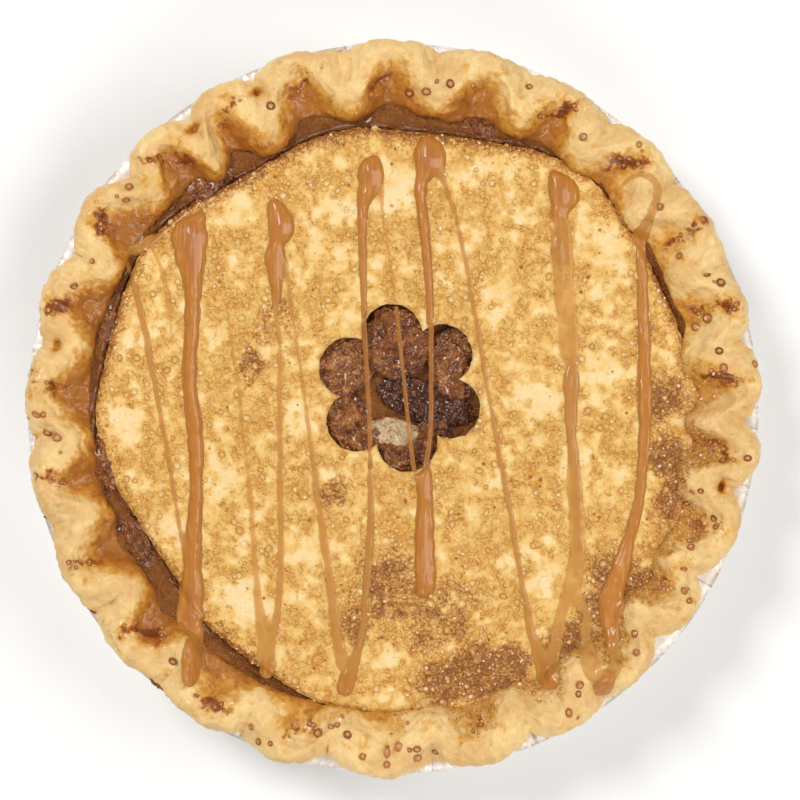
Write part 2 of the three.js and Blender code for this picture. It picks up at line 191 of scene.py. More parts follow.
# Caramel poured over the pie. Each run: how thick it looks (0 to 1), then place and half-width.
POURED = (
    (0.5, ((-88, 48.5, 0.9), (-86, 42, 1.3), (-84, 36, 1.4), (-80.5, 19, 1.5), (-77, 0, 1.2),
        (-67.5, -55.5, 1.1))),
    (0.34, ((-80, 54, 0.8), (-76.5, 46, 1.2), (-74, 36, 1.2), (-72.5, 21, 0.9))),
    (1, ((-63.5, 63, 2), (-67, 58, 4.7), (-67, 54, 5.6), (-66, 42, 3.2), (-66, 34.5, 2.7),
        (-67, 9.5, 2.5), (-65, -10.5, 2.7), (-65, -25.5, 2.2), (-66, -53.5, 3.3),
        (-67, -67.5, 4.8), (-67, -70.5, 3.7))),
    (0.8, ((-65, -73.5, 2.7), (-66, -85.5, 3.3), (-66.5, -88.5, 2.7))),
    (0.34, ((-60, 54, 0.5), (-55, 34.5, 1), (-48.5, -14, 1.1), (-45, -56.5, 1.5),
        (-41.5, -85, 3.3))),
    (0.9, ((-39.5, 67, 2), (-37.5, 62.5, 4.2), (-37, 59, 4.1), (-38.5, 54, 2.7), (-39, 49, 3.2),
        (-38.5, 36, 1.7))),
    (0.42, ((-38.5, 39.5, 1.8), (-38.5, 29.5, 1.1), (-37.5, 19.5, 1.2), (-37, -37, 1.3),
        (-37.5, -60.5, 1.5), (-40.5, -79.5, 2), (-41.5, -85, 2.7))),
    (0.42, ((-36, 48, 1.7), (-34.5, 39.5, 1.1), (-28, -5.5, 1.1), (-17, -84.5, 2.3))),
    (0.9, ((-6.5, 81, 2.7), (-7.5, 78, 4.4), (-7.5, 74, 4.1), (-9.5, 68.5, 2.5), (-10, 62, 1.8),
        (-9.5, 30, 1))),
    (0.55, ((-7.5, -18, 1), (-7.5, -37, 1.4), (-9, -63.5, 1.7), (-10.5, -75.5, 1.7),
        (-13, -84.5, 2.2), (-15.5, -90.5, 3), (-16, -92.5, 2.7))),
    (0.4, ((-4.5, 72.5, 1.7), (-3.5, 65, 1), (1.5, 30, 0.9))),
    (1, ((12, 87.5, 2.7), (12, 84, 4.7), (12, 81, 4.8), (10, 76.5, 2.5), (9, 70.5, 2.1),
        (11, 52.5, 1.7), (12.5, 24.5, 1.3))),
    (0.5, ((13, 82.5, 3), (16, 77, 1.7), (18, 70.5, 1.2), (23, 52, 1.1), (41, -49, 1.3),
        (45, -72, 1.8), (48, -80.5, 2.5), (50.5, -85, 3.7), (51, -89, 3.7))),
    (1, ((10, -14.5, 1), (10.5, -20, 2.1), (10.5, -27, 2.7), (10.5, -55.5, 3.3), (10, -59.5, 2.9))),
    (0.5, ((6, -14, 0.9), (9, -26, 1.7))),
    (0.95, ((53, 77, 1.7), (55.5, 73, 4.2), (56.5, 70, 4.7), (54.5, 64, 2.9))),
    (0.5, ((54.5, 65, 2.6), (55, 58, 3.1), (55.5, 49, 3.6))),
    (0.22, ((54.5, 62.5, 3), (55.5, 54, 4), (58, 19.5, 3.3))),
    (0.45, ((54, 52.5, 1.5), (54, 36, 1.2), (56.5, 21, 1.3))),
    (0.4, ((57.5, 52.5, 1.5), (59.5, 27.5, 1.4), (59, 12, 2))),
    (0.55, ((59, 14, 1.8), (58.5, 8, 2.7), (58.5, -7, 2), (59.5, -16.5, 2.1), (60.5, -47, 2))),
    (0.26, ((59.5, -20.5, 2.7), (60.5, -37, 3), (60.5, -50.5, 3.1), (59.5, -60.5, 3),
        (63.5, -67.5, 2), (63.5, -75.5, 2.3), (65.5, -83.5, 2.7))),
    (0.34, ((59.5, -50.5, 2), (53.5, -77.5, 2.3), (52, -85, 3))),
    (0.4, ((74.5, 72, 0.7), (77.5, 75, 1.1), (81, 76.5, 1.4), (84.5, 75, 1.5), (86.5, 71, 1.6),
        (83.5, 61, 2), (82, 57, 2.7))),
    (0.85, ((81.5, 57, 2.7), (82, 52, 1.9), (83, 2.5, 2.4), (81.5, -27, 1.7), (76.5, -48, 2.5),
        (72.5, -61, 3.8), (71.5, -67, 3.8), (72, -77.5, 1.9))),
    (0.3, ((72, -77, 2.3), (73, -82.5, 2.5), (70.5, -86.5, 2.7), (66.5, -87.5, 2.7),
        (63.5, -84.5, 2.1), (62.5, -79.5, 1.8), (64, -75.5, 1.7))),
    (0.8, ((70.5, -86.5, 2), (68.5, -91.5, 3.3))),
    (0.9, ((-41.5, -83, 1.8), (-41.5, -87, 2.3))),
    (0.9, ((-15, -88, 2.2), (-16, -92.5, 2.5))),
    (0.9, ((50, -83, 2.2), (51, -89, 3.2))),
    (0.25, ((89.5, 28.5, 0.6), (102.5, 29.5, 0.5))),
    (0.3, ((96.5, 23.5, 0.7), (95, 13.5, 0.8))),
    (0.5, ((-88, 51, 1.0), (-84, 53, 2.2), (-79, 56, 2.0), (-75.5, 57.5, 0.9))),
)

# Caramel threads that cross the window, in the same way.
THREADS = (
    (0.22, ((-9.5, 32, 0.8), (-9.5, 26, 0.9), (-8, 0, 0.8), (-7.5, -20, 0.8))),
    (0.22, ((1, 33.5, 0.7), (3.5, 10, 0.7), (6, -14, 0.8), (7, -20.5, 0.8))),
    (0.22, ((12.5, 27.5, 0.9), (12.5, -4, 0.8), (11.5, -14, 0.9), (10.5, -21, 1))),
)

# ---- small sums


def lerp(a, b, share):
    return a + (b - a) * share


def ease(low, high, value):
    """Rises smoothly from 0 at low to 1 at high."""
    share = np.clip((value - low) / (high - low), 0, 1)
    return share * share * (3 - 2 * share)


def bump(degrees, centre, wide):
    """A smooth hump of height 1 at centre that falls to 0 at wide degrees from it."""
    off = np.abs((degrees - centre + 540) % 360 - 180) / wide
    return np.where(off < 1, 0.5 + 0.5 * np.cos(math.pi * np.minimum(off, 1)), 0)


def spots(x, y, places):
    """The strongest of several soft round patches at each point."""
    strength = np.zeros_like(x)
    for px, py, radius, strong in places:
        near = 1 - ease(0.35, 1.25, np.hypot(x - px, y - py) / radius)
        strength = np.maximum(strength, strong * near)
    return strength


def rolling(points, size, seed, octaves=3):
    """Repeatable rolling noise, about -1 to 1, with humps of that size."""
    shifted = np.asarray(points, float) / size + np.array((17.31, 9.17, 5.73)) * seed
    return np.array([noise.fractal(p, 0.9, 2.1, octaves) for p in shifted.tolist()])


def pebbles(points, size, seed):
    """Rounded humps side by side: height from 0 to 1, and a random number for each hump."""
    shifted = np.asarray(points, float) / size + np.array((3.17, 7.73, 1.91)) * seed
    height = np.empty(len(shifted))
    odds = np.empty(len(shifted))
    for i, p in enumerate(shifted.tolist()):
        far, where = noise.voronoi(p)
        height[i] = far[1] - far[0]
        odds[i] = noise.cell(where[0] * 7.3)
    return np.clip(height * 1.6, 0, 1) ** 0.6, odds * 0.5 + 0.5


def rounded(points):
    """Cuts the corners of open lines of points three times, keeping their ends."""
    for _ in range(3):
        a, b = points[..., :-1, :], points[..., 1:, :]
        pairs = np.stack([0.75 * a + 0.25 * b, 0.25 * a + 0.75 * b], axis=-2)
        middle = pairs.reshape(*points.shape[:-2], -1, points.shape[-1])
        points = np.concatenate([points[..., :1, :], middle, points[..., -1:, :]], axis=-2)
    return points


def steps_round(count):
    """Evenly spaced angles once round."""
    return np.linspace(0, TURN, count, endpoint=False)


def direction(x, y):
    return np.arctan2(y, x) % TURN


def polar(radius, angle, z):
    return np.stack([radius * np.cos(angle), radius * np.sin(angle), z], axis=-1)


def place_at(degrees, radius, z=0.0):
    """One place from its direction and its distance from the tin's middle."""
    turn = math.radians(degrees)
    return np.array((radius * math.cos(turn), radius * math.sin(turn), z))


def level_points(x, y):
    return np.stack([x, y, 0 * x], axis=-1)


# ---- meshes


def new_piece(name, mesh):
    piece = bpy.data.objects.new(name, mesh)
    bpy.context.scene.collection.objects.link(piece)
    return piece


def keep_numbers(mesh, values):
    """Keeps numbers at the points of a mesh by name."""
    for key, numbers in values.items():
        layer = mesh.attributes.new(key, "FLOAT", "POINT")
        layer.data.foreach_set("value", np.asarray(numbers, np.float32).ravel())


def kept_numbers(piece, key):
    numbers = np.empty(len(piece.data.vertices), np.float32)
    piece.data.attributes[key].data.foreach_get("value", numbers)
    return numbers


def new_mesh(name, points, faces, values=None, edges=()):
    """A smooth mesh from points in mm, with numbers kept at its points by name."""
    mesh = bpy.data.meshes.new(name)
    mesh.from_pydata((np.asarray(points) * MM).tolist(), edges, faces)
    keep_numbers(mesh, values or {})
    mesh.shade_smooth()
    return mesh


def closed_tube(name, grid, below, above, poles, values):
    """A closed mesh from a grid of columns, plain rings before and after it, and two poles."""
    columns, shown = grid.shape[:2]
    angle = steps_round(columns)

    def ring(r, z):
        return polar(np.full(columns, float(r)), angle, np.full(columns, float(z)))

    rings = [ring(*p) for p in below] + list(np.moveaxis(grid, 1, 0)) + [ring(*p) for p in above]
    points = np.stack(rings, axis=1)
    rows = points.shape[1]
    points = np.concatenate([points.reshape(-1, 3), [(0, 0, z) for z in poles]])
    i, j = np.meshgrid(np.arange(columns), np.arange(rows - 1), indexing="ij")
    after = (i + 1) % columns
    quads = [i * rows + j, after * rows + j, after * rows + j + 1, i * rows + j + 1]
    faces = np.stack(quads, axis=-1).reshape(-1, 4).tolist()
    for i in range(columns):
        first, second = i * rows, (i + 1) % columns * rows
        faces.append((len(points) - 2, second, first))
        faces.append((len(points) - 1, first + rows - 1, second + rows - 1))
    padded = {}
    for key, numbers in values.items():
        whole = np.zeros((columns, rows))
        whole[:, len(below):len(below) + shown] = numbers
        padded[key] = np.append(whole.ravel(), (0, 0))
    return new_mesh(name, points, faces, padded)


def ball(detail):
    """Points and triangles of a ball one unit in radius."""
    shape = bmesh.new()
    bmesh.ops.create_icosphere(shape, subdivisions=detail, radius=1)
    points = np.array([v.co for v in shape.verts])
    faces = [tuple(v.index for v in face.verts) for face in shape.faces]
    shape.free()
    return points, faces


def outward(mesh):
    """Turns every face of a closed mesh outwards."""
    shape = bmesh.new()
    shape.from_mesh(mesh)
    bmesh.ops.recalc_face_normals(shape, faces=shape.faces)
    shape.to_mesh(mesh)
    shape.free()


def grown(name, host, tree, **inputs):
    """Runs a node tree on a mesh and keeps the result as a plain mesh piece."""
    source = bpy.data.objects.new(name + "_source", host)
    modifier = source.modifiers.new("grow", "NODES")
    modifier.node_group = tree
    for item in tree.interface.items_tree:
        if item.in_out == "INPUT" and item.name in inputs:
            modifier[item.identifier] = inputs[item.name]
    bpy.context.scene.collection.objects.link(source)
    graph = bpy.context.evaluated_depsgraph_get()
    mesh = bpy.data.meshes.new_from_object(source.evaluated_get(graph))
    bpy.data.objects.remove(source)
    mesh.name = name
    return new_piece(name, mesh)


def finish_piece(piece, finish=None, replaces=()):
    """Hands a finished piece to the frame."""
    if finish is not None:
        piece.data.materials.clear()
        piece.data.materials.append(finish)
    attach(piece, "root")
    if replaces:
        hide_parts(*replaces)


# ---- nodes


class Socket:
    """A node's output that Python sums can be written with."""

    def __init__(self, nodes, socket):
        self.nodes = nodes
        self.socket = socket

    def __add__(self, other):
        return self.nodes.math("ADD", self, other)

    def __sub__(self, other):
        return self.nodes.math("SUBTRACT", self, other)

    def __mul__(self, other):
        return self.nodes.math("MULTIPLY", self, other)

    def __truediv__(self, other):
        return self.nodes.math("DIVIDE", self, other)

    def __radd__(self, other):
        return self.nodes.math("ADD", other, self)

    def __rsub__(self, other):
        return self.nodes.math("SUBTRACT", other, self)

    def __rmul__(self, other):
        return self.nodes.math("MULTIPLY", other, self)

    def ease(self, low, high):
        """Rises smoothly from 0 at low to 1 at high, or falls if low is the higher."""
        sockets = {"Value": self, "From Min": low, "From Max": high}
        if low > high:
            sockets = {"Value": self, "From Min": high, "From Max": low, "To Min": 1, "To Max": 0}
        return self.nodes.add("ShaderNodeMapRange", sockets, interpolation_type="SMOOTHSTEP")

    def vector(self, operation, other, key=1):
        return self.nodes.add("ShaderNodeVectorMath", {0: self, key: other}, operation=operation)

    def times(self, number):
        """A vector made longer or shorter by a number."""
        return self.vector("SCALE", number, "Scale")

    def other(self, name):
        return Socket(self.nodes, self.nodes.find(self.socket.node.outputs, name))


class Nodes:
    """Adds nodes to a tree, one call for each."""

    def __init__(self, tree):
        self.tree = tree

    @staticmethod
    def find(sockets, key):
        if isinstance(key, int):
            return sockets[key]
        for socket in sockets:
            if socket.identifier == key:
                return socket
        return next(socket for socket in sockets if socket.name == key and socket.enabled)

    def add(self, kind, sockets=None, out=0, **settings):
        node = self.tree.nodes.new(kind)
        for key, value in settings.items():
            setattr(node, key, value)
        for key, value in (sockets or {}).items():
            socket = self.find(node.inputs, key)
            if isinstance(value, Socket):
                self.tree.links.new(value.socket, socket)
            else:
                socket.default_value = value
        if not node.outputs:
            return node
        return Socket(self, self.find(node.outputs, out))

    def math(self, operation, *values):
        return self.add("ShaderNodeMath", dict(enumerate(values)), operation=operation)

    def parts(self, vector):
        """The X, Y and Z of a vector."""
        x = self.add("ShaderNodeSeparateXYZ", {0: vector})
        return x, x.other("Y"), x.other("Z")

    def joined(self, x, y, z):
        return self.add("ShaderNodeCombineXYZ", {"X": x, "Y": y, "Z": z})

    def noise(self, place, size, detail=3.0, roughness=0.5, distortion=0.0):
        sockets = {"Vector": place, "Scale": 1 / size, "Detail": detail, "Roughness": roughness}
        sockets["Distortion"] = distortion
        return self.add("ShaderNodeTexNoise", sockets)

    def push(self, place, size, detail, reach):
        """A vector of noise, up to about half of reach long."""
        rough = self.noise(place, size, detail).other("Color")
        return rough.vector("SUBTRACT", (0.5, 0.5, 0.5)).times(reach)


class Finish(Nodes):
    """A new material and its nodes."""

    def __init__(self, name):
        self.material = bpy.data.materials.new(name)
        self.material.use_nodes = True
        super().__init__(self.material.node_tree)
        self.tree.nodes.clear()
        self.place = self.add("ShaderNodeTexCoord", out="Object")

    def named(self, *keys):
        """Numbers kept at the points of a piece, by name."""
        found = [self.add("ShaderNodeAttribute", out="Fac", attribute_name=key) for key in keys]
        return found if len(keys) > 1 else found[0]

    def clouds(self, size, detail=4.0, roughness=0.6, distortion=0.0, place=None):
        """Noise spread out to about -1 to 1."""
        return (self.noise(place or self.place, size, detail, roughness, distortion) - 0.5) * 4.2

    def cells(self, place, size, randomness=1.0, out="Distance"):
        sockets = {"Vector": place, "Scale": 1 / size, "Randomness": randomness}
        return self.add("ShaderNodeTexVoronoi", sockets, out)

    def bubbles(self, place, size, missing):
        """Round outlines side by side, with some missing, and the space inside them."""
        far = self.cells(place, size, 0.85)
        shown = self.cells(place, size, 0.85, "Color").ease(missing, missing + 0.06)
        outline = far.ease(0.2, 0.34) * far.ease(0.5, 0.4) * shown
        return outline, far.ease(0.36, 0.15) * shown

    def curls(self, place, size, width):
        """Thin wandering lines, as melted sugar leaves between its crumbs."""
        wander = self.clouds(size, 2.0, 0.5, 0.3, place)
        return self.math("ABSOLUTE", wander).ease(width, 0.0)

    def coats(self, base, *coats):
        """Lays colours over a base in order, each with its share from 0 to 1."""
        for share, colour in coats:
            sockets = {"Factor_Float": share, "A_Color": opaque(base), "B_Color": opaque(colour)}
            base = self.add(
                "ShaderNodeMix", sockets, "Result_Color", data_type="RGBA", clamp_factor=True
            )
        return base

    def raised(self, height, depth, strength):
        """Bump for a height from 0 to 1 that stands depth metres high."""
        sockets = {"Height": height, "Distance": depth, "Strength": strength}
        return self.add("ShaderNodeBump", sockets)

    def surface(self, **sockets):
        """Ends in the shader, from values and links given by socket name with _ for spaces."""
        named = {key.replace("_", " "): value for key, value in sockets.items()}
        shader = self.add("ShaderNodeBsdfPrincipled", named)
        self.add("ShaderNodeOutputMaterial", {"Surface": shader})
        return self.material


class Maker(Nodes):
    """A new tree that makes a shape from named inputs, the last of them its finish."""

    def __init__(self, name, **inputs):
        super().__init__(bpy.data.node_groups.new(name, "GeometryNodeTree"))
        face = self.tree.interface
        face.new_socket("Geometry", in_out="OUTPUT", socket_type="NodeSocketGeometry")
        for key, kind in {**inputs, "Finish": "Material"}.items():
            face.new_socket(key, in_out="INPUT", socket_type="NodeSocket" + kind)
        self.inputs = self.add("NodeGroupInput")
        self.here = self.add("GeometryNodeInputPosition")

    def given(self, name):
        return self.inputs.other(name)

    def thing(self, name):
        """The shape of an object that is given by name."""
        return self.add("GeometryNodeObjectInfo", {"Object": self.given(name)}, "Geometry")

    def named(self, key, kind="FLOAT"):
        return self.add("GeometryNodeInputNamedAttribute", {"Name": key}, data_type=kind)

    def keep(self, shape, key, value, domain="POINT"):
        """Keeps a number at a shape's points, or at its copies, by name."""
        sockets = {"Geometry": shape, "Name": key, "Value": value}
        kind = "GeometryNodeStoreNamedAttribute"
        return self.add(kind, sockets, data_type="FLOAT", domain=domain)

    def chance(self, seed, most=1.0):
        """A random number from 0 to most for each point or copy."""
        sockets = {"Seed": seed, "Max_001": most}
        return self.add("FunctionNodeRandomValue", sockets, "Value_001", data_type="FLOAT")

    def uneven(self, seed, least, most):
        sockets = {"Min": least, "Max": most, "Seed": seed}
        return self.add("FunctionNodeRandomValue", sockets, data_type="FLOAT_VECTOR")

    def copies(self, points, turned, scale, tone_seed):
        """Sets a copy of the given shape on each point, each with a random tone."""
        placed = self.add("GeometryNodeInstanceOnPoints", {
            "Points": points, "Instance": self.thing("Shape"), "Rotation": turned, "Scale": scale,
        })
        toned = self.keep(placed, "tone", self.chance(tone_seed), "INSTANCE")
        return self.add("GeometryNodeRealizeInstances", {"Geometry": toned})

    def shaken(self, shape, size):
        """Pushes a shape's points about by the given wobble."""
        offset = self.push(self.here, size, 1, self.given("Wobble"))
        return self.add("GeometryNodeSetPosition", {"Geometry": shape, "Offset": offset})

    def finished(self, shape, smooth=True):
        """Ends the tree in plain faces with their finish."""
        if smooth:
            shape = self.add("GeometryNodeSetShadeSmooth", {"Geometry": shape})
        real = self.add("GeometryNodeRealizeInstances", {"Geometry": shape})
        sockets = {"Geometry": real, "Material": self.given("Finish")}
        done = self.add("GeometryNodeSetMaterial", sockets)
        self.add("NodeGroupOutput", {"Geometry": done})
        return self.tree


# ---- sizes and colours


def srgb(red, green, blue):
    """Linear light for a colour given as it is seen, 0 to 255."""
    parts = (red / 255, green / 255, blue / 255)
    return tuple(p / 12.92 if p <= 0.04045 else ((p + 0.055) / 1.055) ** 2.4 for p in parts)


def opaque(colour):
    """A colour as colour sockets ask for it. A link passes as it is."""
    return colour if isinstance(colour, Socket) else (*colour, 1.0)


def length(name, description, default):
    return FloatProperty(
        name=name, description=description, default=default, unit="LENGTH", precision=5
    )


def number(name, description, default):
    return FloatProperty(name=name, description=description, default=default)


def count(name, description, default):
    return IntProperty(name=name, description=description, default=default)


def colour(name, description, *seen):
    return FloatVectorProperty(
        name=name, description=description, default=srgb(*seen), subtype="COLOR", min=0, max=1
    )


class TinSizes(bpy.types.PropertyGroup):
    base_radius: length("Base radius", "Where the wall leaves the base", 0.093)
    wall_radius: length("Wall radius", "Where the wall meets the flange", 0.111)
    edge_radius: length("Edge radius", "Outside of the rolled edge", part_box("foil_tin")[1].x)
    flange_height: length("Flange height", "Top of the flange", 0.030)
    roll: length("Roll", "Radius of the rolled edge", 0.0013)
    skin: length("Skin", "Thickness of the foil", 0.0003)
    pleats: count("Pleats", "Pleats round the wall", 76)
    pleat: length("Pleat", "How far a pleat stands out", 0.0009)
    crimps: count("Crimps", "Fine folds round the flange", 210)


class PastrySizes(bpy.types.PropertyGroup):
    crest_notch: length("Crest at a notch", "Radius of the crest where it is pinched", 0.1066)
    crest_swell: length("Crest between notches", "Radius of the crest where it swells", 0.1172)
    outer_notch: length("Edge at a notch", "Outside of the rim where it is pinched", 0.1134)
    outer_swell: length("Edge between notches", "Outside of the rim where it swells", 0.1214)
    crest_height: length("Crest height", "Top of the rim", 0.0422)
    columns: count("Columns", "Steps round the rim", 1240)


class LidSizes(bpy.types.PropertyGroup):
    radius: length("Radius", "Where the lid still reaches the rim", 0.0997)
    edge_height: length("Edge height", "Top of the lid at its edge", 0.0344)
    dome: length("Dome", "How much higher the middle is", 0.0024)
    thickness: length("Thickness", "Thickness of the lid", 0.0034)
    petal_at: length("Petal distance", "From the window's middle to a petal's", 0.018)
    petal: length("Petal radius", "Radius of a petal", 0.010)
    spacing: length("Spacing", "Distance between the lid's points", 0.00063)


class ToppingSizes(bpy.types.PropertyGroup):
    blisters: number("Blisters", "Sugar blisters on a square metre of sugared lid", 60000)
    grains: number("Grains", "Sugar grains on a square metre of sugared lid", 330000)
    flat: number("Flatness", "Height of poured caramel over its half-width", 0.44)
    seed: count("Seed", "Seed of everything scattered", 7)


class PieColours(bpy.types.PropertyGroup):
    dough: colour("Dough", "Bare pale dough", 243, 209, 143)
    gold: colour("Gold", "Dough under melted sugar", 228, 173, 80)
    amber: colour("Amber", "Edges of the sugar blisters", 194, 124, 42)
    toast: colour("Toast", "Well baked dough", 190, 120, 40)
    scorch: colour("Scorch", "Burnt sugar", 124, 56, 10)
    caramel: colour("Caramel", "Thick caramel", 190, 122, 46)
    syrup: colour("Syrup", "Filling between rim and lid", 160, 98, 40)
    apple_dark: colour("Dark apple", "Apple soaked in syrup", 76, 28, 4)
    apple: colour("Apple", "Cooked apple", 138, 74, 22)
    apple_pale: colour("Pale apple", "The palest apple", 230, 202, 158)
    # Sugar is also the colour of the palest grains, which partly stand in as painted glints.
    sugar: colour("Sugar", "Sugar crystals", 248, 220, 182)
    foil: colour("Foil", "Aluminium", 250, 247, 243)
    floor: colour("Floor", "The floor", 250, 249, 247)


# ---- finishes


def rim_finish(colours):
    """Crust of the rim: pale on the crest, toasted and glazed in the scoops, burnt in spots."""
    nodes = Finish("crimped_crust")
    # toast also carries the painted shade in the pits at the notches
    toast, scorch, glaze, crust = nodes.named("toast", "scorch", "glaze", "crust")
    broad = nodes.clouds(0.011, 4, 0.55, 0.4)
    soft = nodes.clouds(0.0042, 4, 0.6, 0.6)
    fine = nodes.clouds(0.0015)
    dust = nodes.clouds(0.0005, 3)
    outline, inside = nodes.bubbles(nodes.place, 0.0019, 0.3)
    gaps = nodes.cells(nodes.place, 0.0012).ease(0.32, 0.62)
    baked = toast + broad * 0.16 + soft * 0.24 + fine * 0.16
    freckle = (soft * 0.6 + fine * 0.7 + toast * 0.8).ease(0.6, 1.2)
    burnt = scorch * 1.15 + fine * 0.2 + soft * 0.2
    spotty = outline * (burnt + crust + fine * 0.2).ease(0.15, 0.6)
    base = nodes.coats(
        srgb(228, 184, 118),
        (broad.ease(-0.6, 0.6), colours.dough),
        (fine.ease(0.0, 0.9) * 0.6, srgb(247, 217, 168)),
        (baked.ease(0.06, 0.4), srgb(226, 174, 90)),
        (baked.ease(0.28, 0.6), srgb(210, 148, 58)),
        (baked.ease(0.52, 0.95), colours.toast),
        (baked.ease(0.95, 1.6) * 0.9, srgb(148, 86, 30)),
        (freckle * 0.7, srgb(176, 106, 34)),
        ((crust + soft * 0.2) * 0.5, srgb(212, 158, 84)),
        (inside * crust * 0.5, srgb(238, 198, 128)),
        (burnt.ease(0.26, 0.7), srgb(172, 94, 26)),
        ((burnt + outline * 0.25).ease(0.62, 1.1), colours.scorch),
        (spotty * 0.6, srgb(146, 82, 34)),
        (gaps * (crust + soft * 0.3) * 0.5, srgb(160, 98, 42)),
    )
    wet = (glaze + soft * 0.12).ease(0.15, 0.7)
    height = soft * 0.4 + fine * 0.16 + dust * 0.04
    height = height + inside * burnt.ease(0.2, 0.6) * 1.1 + (inside - gaps * 0.5) * crust
    return nodes.surface(
        Base_Color=base,
        Roughness=0.5 - 0.28 * wet,
        Coat_Weight=wet * 0.36,
        Coat_Roughness=0.05,
        Specular_IOR_Level=0.5,
        Specular_Tint=(1.0, 0.85, 0.62, 1.0),
        Subsurface_Weight=0.25,
        Subsurface_Radius=(1.0, 0.45, 0.18),
        Subsurface_Scale=0.0035,
        Normal=nodes.raised(height, 0.0006, 0.75),
    )


def lid_finish(colours):
    """Crust of the lid: pale dough under golden melted sugar, browned in clusters."""
    nodes = Finish("sugared_lid")
    sugar, brown = nodes.named("sugar", "brown")
    broad = nodes.clouds(0.009, 4, 0.55, 0.3)
    soft = nodes.clouds(0.0034, 4, 0.6, 0.5)
    fine = nodes.clouds(0.0011, 4, 0.65)
    warped = nodes.place.vector("ADD", nodes.push(nodes.place, 0.0024, 2, 0.0011))
    wide, wide_in = nodes.bubbles(warped, 0.0029, 0.5)
    small, small_in = nodes.bubbles(warped, 0.0016, 0.35)
    gaps = nodes.cells(warped, 0.0011).ease(0.32, 0.62)
    lines = nodes.curls(warped, 0.0021, 0.44)
    thin_lines = nodes.curls(warped, 0.0011, 0.4)
    loops = nodes.curls(warped, 0.0037, 0.2)
    veil = sugar + broad * 0.2 + soft * 0.22 + fine * 0.08
    melted = veil.ease(0.15, 0.95)
    flecked = (soft + fine * 0.5).ease(0.0, 1.2)
    bubbly = (veil + fine * 0.1).ease(0.2, 0.7)
    crumbed = (lines * 0.75 + thin_lines * 0.25) * (veil + soft * 0.35).ease(0.22, 1.05)
    baked = brown * 0.9 + soft * 0.3 + fine * 0.2
    dark = baked * 0.75 + lines * 0.35 + thin_lines * 0.25 + gaps * 0.15 - wide_in * 0.15
    specks = nodes.cells(nodes.place, 0.0065).ease(0.045, 0.03)
    base = nodes.coats(
        srgb(246, 218, 164),
        (broad.ease(-0.7, 0.7), srgb(239, 203, 136)),
        (veil.ease(0.0, 0.5) * 0.85, srgb(237, 191, 102)),
        (melted * 0.75, colours.gold),
        (flecked * melted * 0.6, srgb(216, 152, 58)),
        ((wide_in + small_in + fine * 0.3) * bubbly * 0.5, srgb(240, 200, 134)),
        ((wide * 0.55 + small * 0.3) * bubbly * 0.5, colours.amber),
        (crumbed * 0.62, srgb(216, 142, 44)),
        ((0.2 - crumbed) * melted * 1.8, srgb(246, 206, 136)),
        (loops * (veil + brown).ease(0.25, 1.0) * 0.5, srgb(194, 116, 46)),
        (baked.ease(0.15, 0.85) * 0.7, srgb(198, 132, 56)),
        (dark.ease(0.5, 1.25) * 0.9, srgb(136, 74, 26)),
        (specks * 0.9, srgb(70, 46, 26)),
    )
    beads = wide_in * 0.6 + small_in * 0.4 + wide * 0.4 + small * 0.2
    furrows = lines * 0.55 + thin_lines * 0.25 + loops * 0.5
    height = beads * bubbly - furrows * bubbly + fine * 0.1 + soft * 0.3
    return nodes.surface(
        Base_Color=base,
        Roughness=0.52 - 0.24 * melted,
        Coat_Weight=melted * 0.3,
        Coat_Roughness=0.1,
        Specular_IOR_Level=0.5,
        Specular_Tint=(1.0, 0.88, 0.7, 1.0),
        Subsurface_Weight=0.2,
        Subsurface_Radius=(1.0, 0.5, 0.2),
        Subsurface_Scale=0.003,
        Normal=nodes.raised(height, 0.00042, 0.8),
    )


def caramel_finish(colours):
    """Poured caramel: opaque where it lies thick, golden and clear where it is thin."""
    nodes = Finish("poured_caramel")
    body, deep_metres = nodes.named("body", "deep")
    deep = deep_metres * 1000
    streak = nodes.clouds(0.005, 3, 0.5)
    fine = nodes.clouds(0.0016, 3, 0.5)
    stretched = nodes.place.vector("MULTIPLY", (1.0, 0.1, 1.0))
    drawn = nodes.clouds(0.0011, 2, 0.5, place=stretched)
    thick = ((deep + fine * 0.06) * (body * 0.8 + 0.4) + body * 0.4).ease(0.3, 1.5)
    # edge darkens the thin sloping sides of the opaque strands: painted shade
    edge = deep.ease(0.05, 0.35) * deep.ease(1.25, 0.45)
    # pale lays light streaks along the thick strands: painted highlights
    pale = (drawn * 0.8 + streak * 0.3).ease(0.0, 1.0) * deep.ease(0.4, 0.9)
    base = nodes.coats(
        srgb(234, 174, 84),
        (thick, colours.caramel),
        (deep.ease(1.5, 2.6), srgb(180, 112, 56)),
        (edge * body.ease(0.1, 0.7) * 0.6, srgb(166, 98, 38)),
        (pale * 0.42, srgb(220, 162, 92)),
    )
    clear = (deep + streak * 0.06 + fine * 0.06).ease(-0.02, 0.55)
    return nodes.surface(
        Base_Color=base,
        Roughness=0.4,
        Coat_Weight=0.4,
        Coat_Roughness=0.09,
        Specular_IOR_Level=0.25,
        Alpha=clear * (body * 0.9 + 0.3),
        Subsurface_Weight=0.15,
        Subsurface_Radius=(1.0, 0.45, 0.12),
        Subsurface_Scale=0.002,
        Normal=nodes.raised(drawn * 0.6 + streak * 0.3 + fine * 0.1, 0.0003, 0.6),
    )


